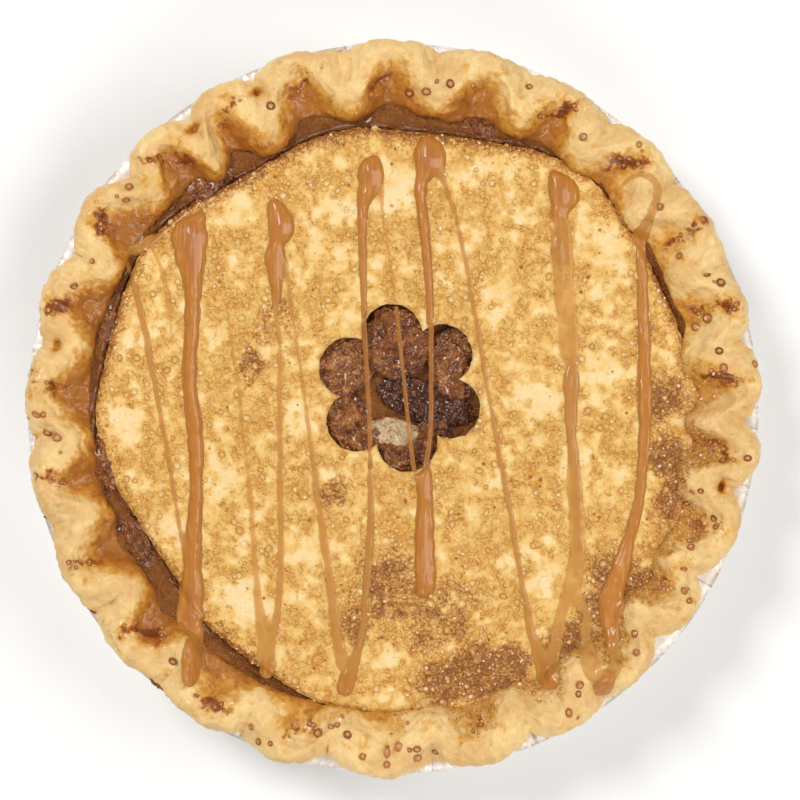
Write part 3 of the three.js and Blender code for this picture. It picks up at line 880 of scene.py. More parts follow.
def blister_finish():
    """Burst bubbles of melted sugar: amber edge, light middle, skirt fading into the lid."""
    nodes = Finish("sugar_blister")
    band, tone, fade = nodes.named("band", "tone", "fade")
    fine = nodes.noise(nodes.place, 0.0007, 2)
    amber = nodes.coats(srgb(222, 166, 74), (tone, srgb(196, 130, 50)))
    middle = nodes.coats(srgb(248, 215, 154), (tone, srgb(226, 175, 88)))
    edge = (band + (fine - 0.5) * 0.9).ease(0.2, 1.1) * 0.85
    return nodes.surface(
        Base_Color=nodes.coats(middle, (edge, amber)),
        Roughness=0.34,
        Coat_Weight=0.35,
        Coat_Roughness=0.1,
        Specular_IOR_Level=0.3,
        Alpha=(fade + (fine - 0.5) * 0.4).ease(0.0, 0.8) * 0.85,
        Normal=nodes.raised(fine, 0.00015, 0.4),
    )


def spot_finish():
    """Ring-shaped blisters in the rim's crust: burnt edge, golden middle."""
    nodes = Finish("rim_blister")
    band, tone, fade = nodes.named("band", "tone", "fade")
    fine = nodes.clouds(0.0008, 2)
    burnt = nodes.coats(srgb(184, 114, 50), (tone, srgb(126, 64, 22)))
    edge = (band + fine * 0.3).ease(0.1, 0.75)
    return nodes.surface(
        Base_Color=nodes.coats(srgb(208, 150, 80), (edge, burnt)),
        Roughness=0.4,
        Coat_Weight=0.3,
        Coat_Roughness=0.12,
        Specular_IOR_Level=0.3,
        Alpha=(fade + fine * 0.1).ease(0.1, 0.85),
        Normal=nodes.raised(fine, 0.0001, 0.4),
    )


def drip_finish():
    """Filling burnt dark and glassy on the foil."""
    nodes = Finish("burnt_filling")
    soft = nodes.clouds(0.0025, 3)
    return nodes.surface(
        Base_Color=nodes.coats(srgb(120, 56, 16), (soft.ease(-0.4, 0.8), srgb(190, 120, 38))),
        Roughness=0.28,
        Coat_Weight=0.6,
        Coat_Roughness=0.06,
        Specular_IOR_Level=0.25,
        Normal=nodes.raised(soft, 0.0005, 0.6),
    )


def grain_finish(colours):
    """Grains of half melted sugar; the palest grains are partly painted glints on the sugar."""
    nodes = Finish("sugar_grain")
    tone = nodes.named("tone")
    base = nodes.coats(
        colours.sugar,
        (tone.ease(0.06, 0.3), srgb(222, 168, 96)),
        (tone.ease(0.4, 0.9), srgb(176, 108, 46)),
    )
    return nodes.surface(
        Base_Color=base,
        Roughness=0.3,
        Coat_Weight=0.3,
        Coat_Roughness=0.1,
        Specular_IOR_Level=0.35,
        Normal=nodes.raised(nodes.noise(nodes.place, 0.0006, 2), 0.0001, 0.5),
    )


def apple_finish(colours):
    """Cooked apple in syrup, from dark to pale by its tone."""
    nodes = Finish("syrupy_apple")
    broad = nodes.clouds(0.0046, 4, 0.6, 0.8)
    fine = nodes.clouds(0.0015, 4, 0.65, 0.5)
    folds = nodes.curls(nodes.place, 0.0042, 0.3)
    # folds darken the colour along the creases of the wrinkles: painted shade
    shade = nodes.named("tone") + broad * 0.26 + fine * 0.16 - folds * 0.14
    base = nodes.coats(
        colours.apple_dark,
        (shade.ease(0.05, 0.5), colours.apple),
        (shade.ease(0.46, 0.8), srgb(184, 118, 56)),
        (shade.ease(0.84, 1.15), colours.apple_pale),
    )
    return nodes.surface(
        Base_Color=base,
        Roughness=0.12,
        Coat_Weight=0.7,
        Coat_Roughness=0.05,
        Specular_IOR_Level=0.8,
        Specular_Tint=(1.0, 0.66, 0.5, 1.0),
        Normal=nodes.raised(fine * 0.24 + broad * 1.15 - folds * 0.5, 0.0011, 0.9),
    )


def syrup_finish(colours):
    """Thick brown syrup of the filling."""
    nodes = Finish("apple_syrup")
    broad = nodes.clouds(0.007, 4, 0.6, 0.8)
    fine = nodes.clouds(0.0022)
    shade = nodes.named("shade") + broad * 0.25 + fine * 0.15
    base = nodes.coats(
        srgb(136, 76, 24),
        (broad.ease(-0.6, 0.6), colours.syrup),
        ((broad * 0.6 + fine * 0.5).ease(0.2, 1.1), srgb(190, 124, 52)),
        (shade.ease(0.15, 0.95) * 0.58, srgb(108, 48, 8)),
    )
    return nodes.surface(
        Base_Color=base,
        Roughness=0.12,
        Coat_Weight=0.5,
        Coat_Roughness=0.05,
        Specular_IOR_Level=0.8,
        Specular_Tint=(1.0, 0.7, 0.45, 1.0),
        Normal=nodes.raised(fine * 0.8 + broad, 0.0011, 1.0),
    )


def foil_finish(colours):
    """Thin bright aluminium with a drawn grain and small dents, painted shade in the valleys of the
    flange's crimps and a painted glow on the flange.
    """
    nodes = Finish("pie_foil")
    crease, edge = nodes.named("crease", "edge")
    dents = nodes.noise(nodes.place, 0.007, 3)
    grain = nodes.noise(nodes.place, 0.0009, 3, 0.6)
    patches = nodes.clouds(0.009, 3)
    stained = edge * (patches * 0.4 + grain).ease(0.1, 0.8)
    base = nodes.coats(
        colours.foil,
        (dents, srgb(242, 234, 226)),
        # painted shade in the valleys of the flange's crimps
        ((crease + patches * 0.1).ease(0.78, 1.05) * 0.6, srgb(120, 104, 92)),
        (stained * 0.7, srgb(140, 108, 74)),
    )
    # The flange and its roll glow a little with their own colour: a painted reflection of the
    # bright room.
    level = nodes.parts(nodes.place)[2]
    return nodes.surface(
        Base_Color=base,
        Metallic=0.15,
        Roughness=0.34 + grain * 0.16,
        Emission_Color=nodes.coats((0.0, 0.0, 0.0), (level.ease(0.0295, 0.031), base)),
        Emission_Strength=0.3,
        Normal=nodes.raised(dents * 0.8 + grain * 0.1, 0.0012, 0.5),
    )


def floor_finish(colours):
    """Plain pale floor."""
    nodes = Finish("pale_floor")
    cloud = nodes.noise(nodes.place, 0.4, 2)
    base = nodes.coats(colours.floor, (cloud * 0.3, srgb(246, 245, 243)))
    return nodes.surface(Base_Color=base, Roughness=0.8)


# ---- foil tin


def tin_profile(tin):
    """Half section of the tin, from the middle of its base out, over the roll and back."""
    base, wall = tin.base_radius / MM, tin.wall_radius / MM
    top, skin, roll = tin.flange_height / MM, tin.skin / MM, tin.roll / MM
    edge = tin.edge_radius / MM - roll
    outer = [(0, 0), (base * 0.5, 0), (base - 2.5, 0), (base - 0.9, 0.25), (base, 1.1)]
    for share in np.arange(1, 15) / 14:
        outer.append((lerp(base, wall, share), lerp(1.1, top - 1.4, share)))
    outer += [(wall + 0.5, top - skin - 0.2), (wall + 1.4, top - skin)]
    outer += [(lerp(wall + 1.4, edge - roll - 0.8, k / 5), top - skin) for k in range(1, 6)]
    for degrees in (200, 230, 260, 290, 320, 350, 20, 50, 80, 110, 140, 165):
        turn = math.radians(degrees)
        outer.append((edge + roll * math.cos(turn), top + 0.3 + roll * math.sin(turn)))
    inner = [(edge - roll - 0.6, top + 0.12)]
    inner += [(lerp(edge - roll - 0.8, wall + 1.0, k / 5), top) for k in range(1, 6)]
    inner += [(wall - 0.1, top - 1.2), (base - 0.3, 1.6), (base - 2.5, skin), (0, skin)]
    return outer + inner


def tin_tree():
    """Turns a half section into a pleated tin with a finely folded flange."""
    nodes = Maker(
        "pleated_tin", Section="Geometry", Pleats="Int", Pleat="Float", Crimps="Int",
        Flange="Float", Wall="Float", Steps="Int", Rows="Int",
    )
    given = nodes.given
    section = nodes.add("GeometryNodeMeshToCurve", {"Mesh": given("Section")})
    sheet = nodes.add("GeometryNodeMeshGrid", {
        "Size X": 1.0, "Size Y": 1.0, "Vertices X": given("Rows"), "Vertices Y": given("Steps"),
    })
    down, round_tin, _ = nodes.parts(nodes.here)
    angle = (round_tin + 0.5) * TURN
    profile = {"Curves": section, "Factor": down + 0.5}
    sampled = nodes.add(
        "GeometryNodeSampleCurve", profile, "Position", mode="FACTOR", use_all_curves=True
    )
    radius, _, height = nodes.parts(sampled)
    ahead, aside = nodes.math("COSINE", angle), nodes.math("SINE", angle)
    ring = nodes.joined(ahead, aside, 0.0)
    uneven = nodes.noise(ring, 1 / 7, 2)
    uneven_fine = nodes.noise(ring, 1 / 31, 1)
    turned = angle / TURN
    phase = turned * given("Pleats") + (uneven - 0.5) * 2.2
    fold = nodes.math("PINGPONG", phase * 2, 1.0) - 0.5
    below_flange = (radius / given("Wall")).ease(1.02, 0.995)
    on_wall = (height / given("Flange")).ease(0.08, 0.5) * below_flange
    deep = given("Pleat") * (uneven_fine * 1.5 + 0.25)
    radius = radius + fold * deep * on_wall * 2
    out = radius / given("Wall")
    crimp = turned * given("Crimps") + (uneven_fine - 0.5) * 1.6
    ripple = nodes.math("PINGPONG", crimp * 2, 1.0) - 0.5
    on_flange = out.ease(1.01, 1.03)
    height = height + ripple * on_flange * 0.0009 * uneven_fine
    height = height + on_flange * (uneven - 0.5) * 0.0006
    radius = radius + on_flange * (uneven - 0.5) * 0.0005
    # How deep each point lies in a crimp of the flange, for the painted shade in its valleys
    crimp_shade_kept = nodes.keep(sheet, "crease", (0.5 - ripple) * on_flange)
    edged = nodes.keep(crimp_shade_kept, "edge", out.ease(1.078, 1.084))
    where = nodes.joined(radius * ahead, radius * aside, height)
    shaped = nodes.add("GeometryNodeSetPosition", {"Geometry": edged, "Position": where})
    closed = nodes.add("GeometryNodeMergeByDistance", {"Geometry": shaped, "Distance": 1e-6})
    return nodes.finished(closed)


class PIE_OT_tin(bpy.types.Operator):
    """Makes the pleated foil tin"""

    bl_idname = "pie.tin"
    bl_label = "Foil tin"

    def execute(self, context):
        tin = context.scene.pie_tin
        points = [(x, 0, z) for x, z in tin_profile(tin)]
        edges = [(i, i + 1) for i in range(len(points) - 1)]
        piece = grown(
            "foil_tin_pleated", new_mesh("tin_section", points, [], edges=edges), tin_tree(),
            Pleats=tin.pleats, Pleat=tin.pleat, Crimps=tin.crimps, Flange=tin.flange_height,
            Wall=tin.wall_radius, Steps=1081, Rows=78,
            Finish=foil_finish(context.scene.pie_colours),
        )
        outward(piece.data)
        finish_piece(piece, replaces=["foil_tin"])
        return {"FINISHED"}


# ---- pastry shell and rim


def crimp_of(angle):
    """How far each angle is from one notch to the next, 0 to 1, and which crimp it is in."""
    degrees = (np.degrees(angle) - FIRST_NOTCH) % 360 + FIRST_NOTCH
    which = np.clip(np.searchsorted(NOTCHES, degrees, side="right") - 1, 0, len(CRIMP_WIDTHS) - 1)
    share = (degrees - NOTCHES[which]) / (NOTCHES[which + 1] - NOTCHES[which])
    return share, which


def shell_outer(z):
    return lerp(93, 111, z / 30) - 0.8


def shell_inner(z):
    return shell_outer(z) - lerp(5, 8.5, z / 33)


def own_number(which, seed):
    """A random number from 0 to 1 for each crimp."""
    return np.random.default_rng(seed).random(len(CRIMP_WIDTHS))[which]


def from_notches(numbers, share, which):
    """Runs smoothly between the numbers given for the notches."""
    numbers = np.array(numbers)
    return lerp(numbers[which], numbers[(which + 1) % len(numbers)], ease(0.15, 0.85, share))


def scoop_numbers(column, which):
    """One column of the scoops' table for each point."""
    return np.array([one[column] for one in SCOOPS])[which]


def rim_sections(angle, sizes):
    """Control points of the rim's section at each angle, from under its edge to its toe.

    The rim is a thick rope that swings out between two notches and in at each of them, where its
    outer side slopes down to a lip on the foil.
    """
    share, which = crimp_of(angle)
    lean = np.radians(1.3 * np.sin(5 * angle + 1.0) + 1.1 * np.sin(11 * angle + 0.4))
    share_in, which_in = crimp_of(angle + lean)
    wave = np.sin(math.pi * share)
    swing = np.sin(math.pi * share_in) ** 2
    low_swing = np.sin(math.pi * share_in) ** 3
    uneven = 0.6 * np.sin(3 * angle + 0.7) + 0.4 * np.sin(7 * angle + 2.1)
    spread = from_notches(SPREAD, share, which)
    toe = from_notches(HILL_TOE, share_in, which_in)
    scoop = scoop_numbers(0, which_in) * swing
    high = (own_number(which, 1) - 0.5) * wave
    far = (own_number(which, 2) - 0.65) * wave
    deep = (own_number(which_in, 3) - 0.5) * swing
    sharp = (wave**2 + 0.004) ** 0.25
    crest = lerp(wave**1.5, swing, 0.4)
    notch_r = lerp(sizes.outer_notch / MM, 119.0, spread)
    swell_r = sizes.outer_swell / MM
    crest_in = sizes.crest_notch / MM + 0.55 * (toe - 98)
    crest_out = sizes.crest_swell / MM
    top = sizes.crest_height / MM
    out = 0.35 * uneven + 0.8 * far - 1.5 * bump(np.degrees(angle), 324, 34)
    sway = 0.5 * uneven
    rows = (
        # radius and height at a notch, both between notches, how it swings, then its two shifts
        (110.2, 30.6, 110.2, 30.6, sharp, 0, 0),
        (lerp(111.4, 114.8, spread), 30.6, 116.4, 30.8, sharp, 0, 0),
        (notch_r - 1.8, 30.9, swell_r - 2.6, 31.9, sharp, out, 0),
        (notch_r - 0.4, 31.9, swell_r - 0.4, 32.9, sharp, out, 0),
        (notch_r, 33.4, swell_r + 0.1, 36.0, sharp, out, 0),
        (lerp(112.6, 116.8, spread), lerp(36.4, 35.2, spread), swell_r - 0.3, 39.6, sharp, out, 0),
        (lerp(111.2, 112.8, spread), lerp(39.6, 38.4, spread), swell_r - 1.9, top + 0.4, wave**0.8,
         out, high),
        (crest_in, top - 0.4, crest_out, top + 1.4, crest, sway, high),
        (lerp(crest_in, toe, 0.42), top - 0.8, lerp(crest_out - 3.4, crest_out - 4.4, scoop),
         lerp(top, top - 1.2, scoop), swing, sway, high),
        (lerp(crest_in, toe, 0.78), top - 2.9, 108.6, lerp(39.4, 37.6, scoop), swing, deep,
         0.8 * deep),
        (toe + 0.5, 37.0, lerp(104.0, 104.8, scoop), lerp(36.9, 35.6, scoop), low_swing,
         1.4 * deep, 0.5 * deep),
        (toe - 0.2, 35.0, 101.8, 34.6, low_swing, deep, 0),
        (toe, 33.4, 100.3, 33.6, low_swing, 0.4 * deep, 0),
        (toe + 1.4, 32.2, 101.0, 32.4, low_swing, 0, 0),
    )
    sections = []
    for r_in, z_in, r_out, z_out, share_out, shift, lift in rows:
        radius = lerp(r_in, r_out, share_out) + shift
        height = lerp(z_in, z_out, share_out) + lift
        sections.append(np.stack([radius, height + 0 * angle], axis=-1))
    return np.stack(sections, axis=1), lerp(crest_in, crest_out, crest)


def burnt_line(angle, radius, folds):
    """How near each point of the rim is to the burnt line at the top of its scoop."""
    share, which = crimp_of(angle)
    width = np.radians(np.array(CRIMP_WIDTHS))[which] * RIM_RADIUS
    start, end = scoop_numbers(2, which), scoop_numbers(3, which)
    ax, ay = start[..., 0] * width, start[..., 1]
    bx, by = end[..., 0] * width, end[..., 1]
    x, y = share * width, radius
    along = ((x - ax) * (bx - ax) + (y - ay) * (by - ay)) / ((bx - ax) ** 2 + (by - ay) ** 2 + 0.1)
    along = np.clip(along, 0, 1)
    off = np.hypot(x - lerp(ax, bx, along), y - lerp(ay, by, along))
    return np.exp(-((off / (1.4 + 0.5 * folds)) ** 2)), np.exp(-((off / 4.2) ** 2))


def even_rows(curve, rows):
    """The same lines of points with their points spread evenly along them."""
    step = np.linalg.norm(np.diff(curve, axis=1), axis=-1).mean(axis=0)
    along = np.concatenate([[0], np.cumsum(step)])
    at = np.interp(np.linspace(0, along[-1], rows), along, np.arange(len(along)))
    low = np.minimum(at.astype(int), curve.shape[1] - 2)
    part = (at - low)[None, :, None]
    return curve[:, low] * (1 - part) + curve[:, low + 1] * part


def normals_of(grid):
    """The outward direction at each point of a grid of columns that closes on itself."""
    along = np.roll(grid, -1, axis=0) - np.roll(grid, 1, axis=0)
    across = np.gradient(grid, axis=1)
    normal = np.cross(along, across)
    return normal / np.maximum(np.linalg.norm(normal, axis=-1, keepdims=True), 1e-9)


def pastry_rim(sizes):
    """Points of the shell with its crimped rim, column by column, and how it is baked."""
    columns, rows = sizes.columns, 70
    control, crest_r = rim_sections(steps_round(columns), sizes)
    section = even_rows(rounded(control), rows)
    spread = np.repeat(steps_round(columns)[:, None], rows, axis=1)
    degrees = np.degrees(spread)
    share, which = crimp_of(spread)
    wave = np.sin(math.pi * share)
    grid = polar(section[..., 0], spread, section[..., 1])
    normal = normals_of(grid)
    flat = grid.reshape(-1, 3)
    fan = [spread * RIM_RADIUS / 1.3, section[..., 0] / 7, section[..., 1] / 7]
    fanned = np.stack(fan, axis=-1).reshape(-1, 3)

    def rough(size, seed, octaves, places=flat):
        return rolling(places, size, seed, octaves).reshape(columns, rows)

    lumps, folds, crumb, broad = rough(10, 1, 2), rough(4.2, 2, 3), rough(1.4, 3, 2), rough(7, 5, 3)
    pleats = rough(1, 8, 2, fanned)
    creases = -np.abs(rough(5.5, 6, 2))

    down = np.linspace(0, 1, rows)[None, :]
    soft = ease(0.02, 0.14, down) * (1 - ease(0.96, 1.0, down))
    outside = ease(-1, -5, crest_r[:, None] - np.hypot(grid[..., 0], grid[..., 1]))
    moved = 0.95 * lumps + 0.5 * folds + 0.14 * crumb + 0.7 * (creases + 0.25)
    moved = moved + (0.16 + 0.5 * outside * (1 - wave)) * pleats
    grid = grid + normal * (moved * soft)[..., None]

    radius = np.hypot(grid[..., 0], grid[..., 1])
    height = grid[..., 2].copy()
    inward = crest_r[:, None] - radius
    left = bump(degrees, 150, 90) + 0.75 * bump(degrees, 75, 50) + 0.7 * bump(degrees, 220, 55)
    left = np.clip(left, 0, 1)
    inner = ease(1.5, 9.5, inward)
    low_slope = 1 - ease(34.5, 39.5, height)
    stained = (1 - ease(33.8, 37.6, height + 0.9 * folds)) * inner
    scoops = scoop_numbers(0, which) * wave**2
    dark = scoop_numbers(1, which)
    wander = spread + 0.016 * rough(3.6, 11, 3)
    line, halo = burnt_line(wander, radius + 1.8 * rough(3.2, 12, 3), crumb)
    toast = (0.08 + 0.38 * left) * inner
    toast = toast + (0.13 + 0.22 * left) * inner * scoops * (1 - 0.3 * low_slope)
    toast = toast + 0.42 * left * ease(4.8, 12.0, inward + 1.2 * folds)
    toast = toast + (0.1 + 0.18 * left) * low_slope * inner + (0.25 + 0.6 * left) * stained
    toast = toast + 0.44 * dark * halo + 0.3 * broad
    toast = toast + 0.25 * (pleats * 0.5 + folds * 0.3) * inner - 0.12 * outside
    scorch = dark * line * (0.6 + 1.2 * broad + 0.7 * crumb) + 0.28 * halo * dark
    under = 1 - ease(0.1, 0.22, down)
    toast = toast * (1 - under) + 0.1 * under
    for at, r, deep in PITS:
        hole = bump(degrees, at, 2.2) * np.exp(-(((radius - r) / 1.5) ** 2))
        height = height - deep * hole
        # Each hole is also darkened in colour: partly baked colour, partly painted shade.
        toast = toast + 1.2 * hole
        scorch = scorch + 0.5 * hole * deep / 3
    # Darker low on the outer slope at each notch, where the rim folds into a pit: partly baked
    # colour, partly painted shade.
    notch_pit_shade = (1 - ease(0.0, 0.16, wave)) * (1 - ease(33.5, 39, height)) * outside
    toast = toast + 0.7 * notch_pit_shade * (0.6 + broad)
    glaze = np.clip(left * (0.2 + 0.7 * inner) + scorch * 0.8 + 0.5 * halo * dark, 0, 1)
    baked_on = np.clip(bump(degrees, 310, 55) + 0.7 * bump(degrees, 352, 26), 0, 1)
    crust = baked_on * ease(4.5, 11, inward + 2.4 * broad + 1.2 * folds) * (1 - under)
    toast = toast + 0.2 * crust
    grid[..., 2] = height
    return grid, {"toast": toast, "scorch": scorch, "glaze": glaze, "crust": crust}


class PIE_OT_shell(bpy.types.Operator):
    """Makes the pastry shell with its hand-crimped rim"""

    bl_idname = "pie.shell"
    bl_label = "Pastry shell"

    def execute(self, context):
        under, floor = 0.75, 4.95
        grid, baked = pastry_rim(context.scene.pie_pastry)
        below = [(89.5, under), (shell_outer(3), 3), (shell_outer(28.4), 28.4)]
        above = [(shell_inner(29) + 0.2, 29), (shell_inner(5), floor)]
        mesh = closed_tube("crimped_shell", grid, below, above, (under, floor), baked)
        piece = new_piece("crimped_shell", mesh)
        finish_piece(piece, rim_finish(context.scene.pie_colours), ["pastry_shell"])
        return {"FINISHED"}


# ---- lid


def window_radius(angle, sizes):
    """Distance from the window's middle to its edge."""
    pitch = TURN / PETALS
    off = (angle - PETAL_TURN + pitch / 2) % pitch - pitch / 2
    at, radius = sizes.petal_at / MM, sizes.petal / MM
    across = at * np.sin(off)
    return at * np.cos(off) + np.sqrt(radius**2 - across**2)


def lid_radius(angle, sizes):
    degrees = np.degrees(angle)
    drawn = sum(deep * bump(degrees, at, wide) for at, wide, deep in SHRUNK)
    ragged = 0.3 * np.sin(9 * angle) + 0.25 * np.sin(14 * angle + 1)
    joined = sum(reach * bump(degrees, at, wide) for at, wide, reach in JOINED)
    return sizes.radius / MM - drawn + ragged + joined


def lid_height(x, y, sizes):
    """Top of the lid without its crust: a low dome with a few broad waves."""
    r = np.hypot(x, y) / (sizes.radius / MM)
    waves = 0.25 * np.sin(x / 13 + 1) * np.sin(y / 17) + 0.15 * np.sin(x / 7 - y / 9)
    return sizes.edge_height / MM + sizes.dome / MM * (1 - r * r) + waves * (1 - r * r)


def crust_cover(flat):
    """How much melted sugar and how much browning each place on the lid has."""
    x, y = flat[:, 0], flat[:, 1]
    cover = 0.58 + 0.4 * rolling(flat, 10, 11, 3) + 0.5 * rolling(flat, 4, 12, 3)
    cover -= 0.6 * spots(x, y, BARE)
    brown = 1.25 * spots(x, y, BROWNED) + 0.45 * rolling(flat, 6, 13, 3) - 0.12
    brown += 0.5 * ease(84, 98, np.hypot(x, y)) * bump(np.degrees(np.arctan2(y, x)), 310, 75)
    brown = np.clip(brown, 0, 1)
    return np.clip(cover + 0.5 * brown, 0, 1), brown


def beyond(loose, ring, centre=(0, 0)):
    """How far each place lies outside a ring of points round a centre."""
    away, around = loose - centre, ring - centre
    angle = direction(around[:, 0], around[:, 1])
    order = np.argsort(angle)
    reach = np.hypot(around[:, 0], around[:, 1])[order]
    limit = np.interp(direction(away[:, 0], away[:, 1]), angle[order], reach, period=TURN)
    return np.hypot(away[:, 0], away[:, 1]) - limit


def flat_sheet(outer, window, spacing):
    """Triangles between two rings of points, filled with evenly spaced points."""
    reach = np.hypot(outer[:, 0], outer[:, 1]).max()
    across, up = np.arange(-reach, reach, spacing), np.arange(-reach, reach, spacing * 0.75**0.5)
    xs, ys = np.meshgrid(across, up)
    xs[1::2] += spacing / 2
    loose = np.stack([xs.ravel(), ys.ravel()], axis=-1)
    clear = spacing * 0.55
    inside = beyond(loose, outer) < -clear
    inside &= beyond(loose, window, np.array(WINDOW)) > clear
    points = np.concatenate([outer, window, loose[inside]])
    n, m = len(outer), len(window)
    edges = [(i, (i + 1) % n) for i in range(n)] + [(n + i, n + (i + 1) % m) for i in range(m)]
    found = delaunay_2d_cdt([Vector(p) for p in points.tolist()], edges, [], 0, 1e-6)
    if len(found[0]) != len(points):
        raise RuntimeError("the lid's outline crosses itself")
    source = np.array([origin[0] for origin in found[3]])
    triangles = source[np.array(found[2])]

    def leftwards(corners):
        a, b, c = (points[corners[:, k]] for k in range(3))
        return np.cross(b - a, c - a)

    turn = leftwards(triangles)
    triangles[turn < 0] = triangles[turn < 0][:, ::-1]
    along_ring = leftwards(np.sort(triangles, axis=1)) > 0
    on_outer = (triangles < n).all(axis=1)
    on_window = ((triangles >= n) & (triangles < n + m)).all(axis=1)
    keep = ~(on_outer & ~along_ring) & ~(on_window & along_ring)
    return points, triangles[keep]


def lid_crust(level, distance_out):
    """Relief of the lid's crust, how much melted sugar lies there and how brown it is."""
    x, y = level[:, 0], level[:, 1]
    cover, brown = crust_cover(level)
    grain, odds = pebbles(level + 0.5 * rolling(level, 3, 31, 1)[:, None], 2.1, 5)
    clots, clot_odds = pebbles(level, 3.6, 6)
    relief = 0.3 * rolling(level, 16, 14, 2) + 0.12 * rolling(level, 5, 15, 3)
    relief += ease(0.3, 0.7, cover) * (0.12 + 0.34 * grain * odds)
    relief += ease(0.25, 0.8, brown) * (0.25 + 0.8 * clots * clot_odds + 0.3 * grain)
    around = np.degrees(np.arctan2(y, x))
    drawn = sum(bump(around, at, wide * 1.15) * deep / 5 for at, wide, deep in SHRUNK)
    drawn = np.clip(drawn, 0, 1) * (1 - 0.6 * bump(around, 205, 45))
    fringe = 0.72 * (1 - ease(1.0, 5.6, distance_out + 1.6 * rolling(level, 4, 16, 2)))
    fringe = drawn * (fringe + 0.5 * (1 - ease(0.3, 1.8, distance_out)))
    return relief, np.clip(cover + 0.6 * fringe, 0, 1), np.clip(brown + fringe, 0, 1)


def lid_mesh(sizes):
    """The lid: a low dome with its crust's relief, a ragged edge and the flower window."""
    count_out, count_in = 960, 320
    dips = ((0.7, 0.15), (1.6, 0.1), (2.5, -0.15), (sizes.thickness / MM, -0.5))
    angle, inner_angle = steps_round(count_out), steps_round(count_in)
    rim = polar(np.full(count_out, 60.0), angle, 0 * angle)
    outer_r = lid_radius(angle, sizes) + 0.45 * rolling(rim, 7, 21, 3)
    outer_r += 0.22 * rolling(rim, 1.6, 22, 2)
    outer = polar(outer_r, angle, 0 * angle)[:, :2]
    hole = polar(np.full(count_in, 25.0), inner_angle, 0 * inner_angle)
    inner_r = window_radius(inner_angle, sizes) + 0.22 * rolling(hole, 2.5, 23, 2)
    window = polar(inner_r, inner_angle, 0 * inner_angle)[:, :2] + np.array(WINDOW)
    flat, triangles = flat_sheet(outer, window, sizes.spacing / MM)
    x, y = flat[:, 0], flat[:, 1]
    distance_out = np.interp(direction(x, y), angle, outer_r, period=TURN) - np.hypot(x, y)
    off_x, off_y = x - WINDOW.x, y - WINDOW.y
    to_window = np.interp(direction(off_x, off_y), inner_angle, inner_r, period=TURN)
    distance_in = np.hypot(off_x, off_y) - to_window
    relief, cover, brown = lid_crust(level_points(x, y), distance_out)
    drop = 1.1 * (1 - ease(0, 2.2, distance_out)) ** 2 + 0.7 * (1 - ease(0, 1.8, distance_in)) ** 2
    top = np.stack([x, y, lid_height(x, y, sizes) + relief - drop], axis=-1)
    points = [top]
    faces = triangles.tolist()
    values = {"sugar": [cover], "brown": [brown]}

    def skirt(first, around, centre, outwards):
        """Rows of side wall below a ring of the sheet, down to the underside."""
        start = first
        ring = top[first:first + around]
        push = ring[:, :2] - centre
        push = push / np.linalg.norm(push, axis=1, keepdims=True) * (1 if outwards else -1)
        for depth, swell in dips:
            row = ring.copy()
            ragged = (0 if swell == dips[-1][1] else 0.3) * rolling(ring, 1.8, 40 + depth, 2)
            row[:, :2] += push * (swell + ragged)[:, None]
            base = lid_height(row[:, 0], row[:, 1], sizes) - depth
            row[:, 2] = np.minimum(base, ring[:, 2] - 0.12 * depth)
            begin = sum(len(p) for p in points)
            points.append(row)
            for parts in values.values():
                parts.append(parts[0][first:first + around] * 0.6)
            for i in range(around):
                a, b = start + i, start + (i + 1) % around
                c, d = begin + (i + 1) % around, begin + i
                faces.append((b, a, d, c) if outwards else (a, b, c, d))
            start = begin
        return start

    out_ring = skirt(0, count_out, np.zeros(2), True)
    in_ring = skirt(count_out, count_in, np.array(WINDOW), False)
    ratio = count_out // count_in
    for i in range(count_in):
        near, after = in_ring + i, in_ring + (i + 1) % count_in
        for k in range(i * ratio, (i + 1) * ratio):
            faces.append((near, out_ring + (k + 1) % count_out, out_ring + k))
        faces.append((near, after, out_ring + (i + 1) * ratio % count_out))
    values = {key: np.concatenate(parts) for key, parts in values.items()}
    return new_mesh("sugared_lid", np.concatenate(points), faces, values)


class PIE_OT_lid(bpy.types.Operator):
    """Makes the sugared lid with its flower window"""

    bl_idname = "pie.lid"
    bl_label = "Lid"

    def execute(self, context):
        piece = new_piece("sugared_lid", lid_mesh(context.scene.pie_lid))
        finish_piece(piece, lid_finish(context.scene.pie_colours), ["pastry_lid"])
        return {"FINISHED"}


# ---- filling


def filling_mesh(sizes):
    """Thick syrup with small lumps, which fills the shell up to the lid and the gap round it."""
    columns, rows, reach = 480, 90, 103.2
    gap_level, window_level, window_reach = 33.7, 30.0, (29, 31)
    angle = np.broadcast_to(steps_round(columns)[:, None], (columns, rows))
    share = np.linspace(0.01, 1, rows)[None, :] ** 0.8
    radius = np.broadcast_to(share * reach, (columns, rows))
    x, y = radius * np.cos(angle), radius * np.sin(angle)
    lumps = rolling(level_points(x, y).reshape(-1, 3), 6, 51, 3).reshape(x.shape)
    beyond_lid = radius - lid_radius(angle, sizes)
    in_gap = ease(-0.5, 1.4, beyond_lid)
    in_window = 1 - ease(*window_reach, np.hypot(x - WINDOW.x, y - WINDOW.y))
    under_lid = lid_height(x, y, sizes) - sizes.thickness / MM - 0.45
    top = lerp(under_lid, gap_level + 0.9 * lumps, in_gap)
    top = lerp(top, window_level + 0.6 * lumps, in_window)
    grid = np.stack([x, y, top], axis=-1)[:, ::-1]
    shade = ((1 - ease(0.6, 5.0, beyond_lid + 0.8 * lumps)) * in_gap)[:, ::-1]
    below = [(shell_inner(5) - 0.6, 5.4), (shell_inner(29) - 0.6, 28.6), (96.5, 29.2)]
    return closed_tube("apple_syrup", grid, below, [], (5.4, window_level), {"shade": shade})


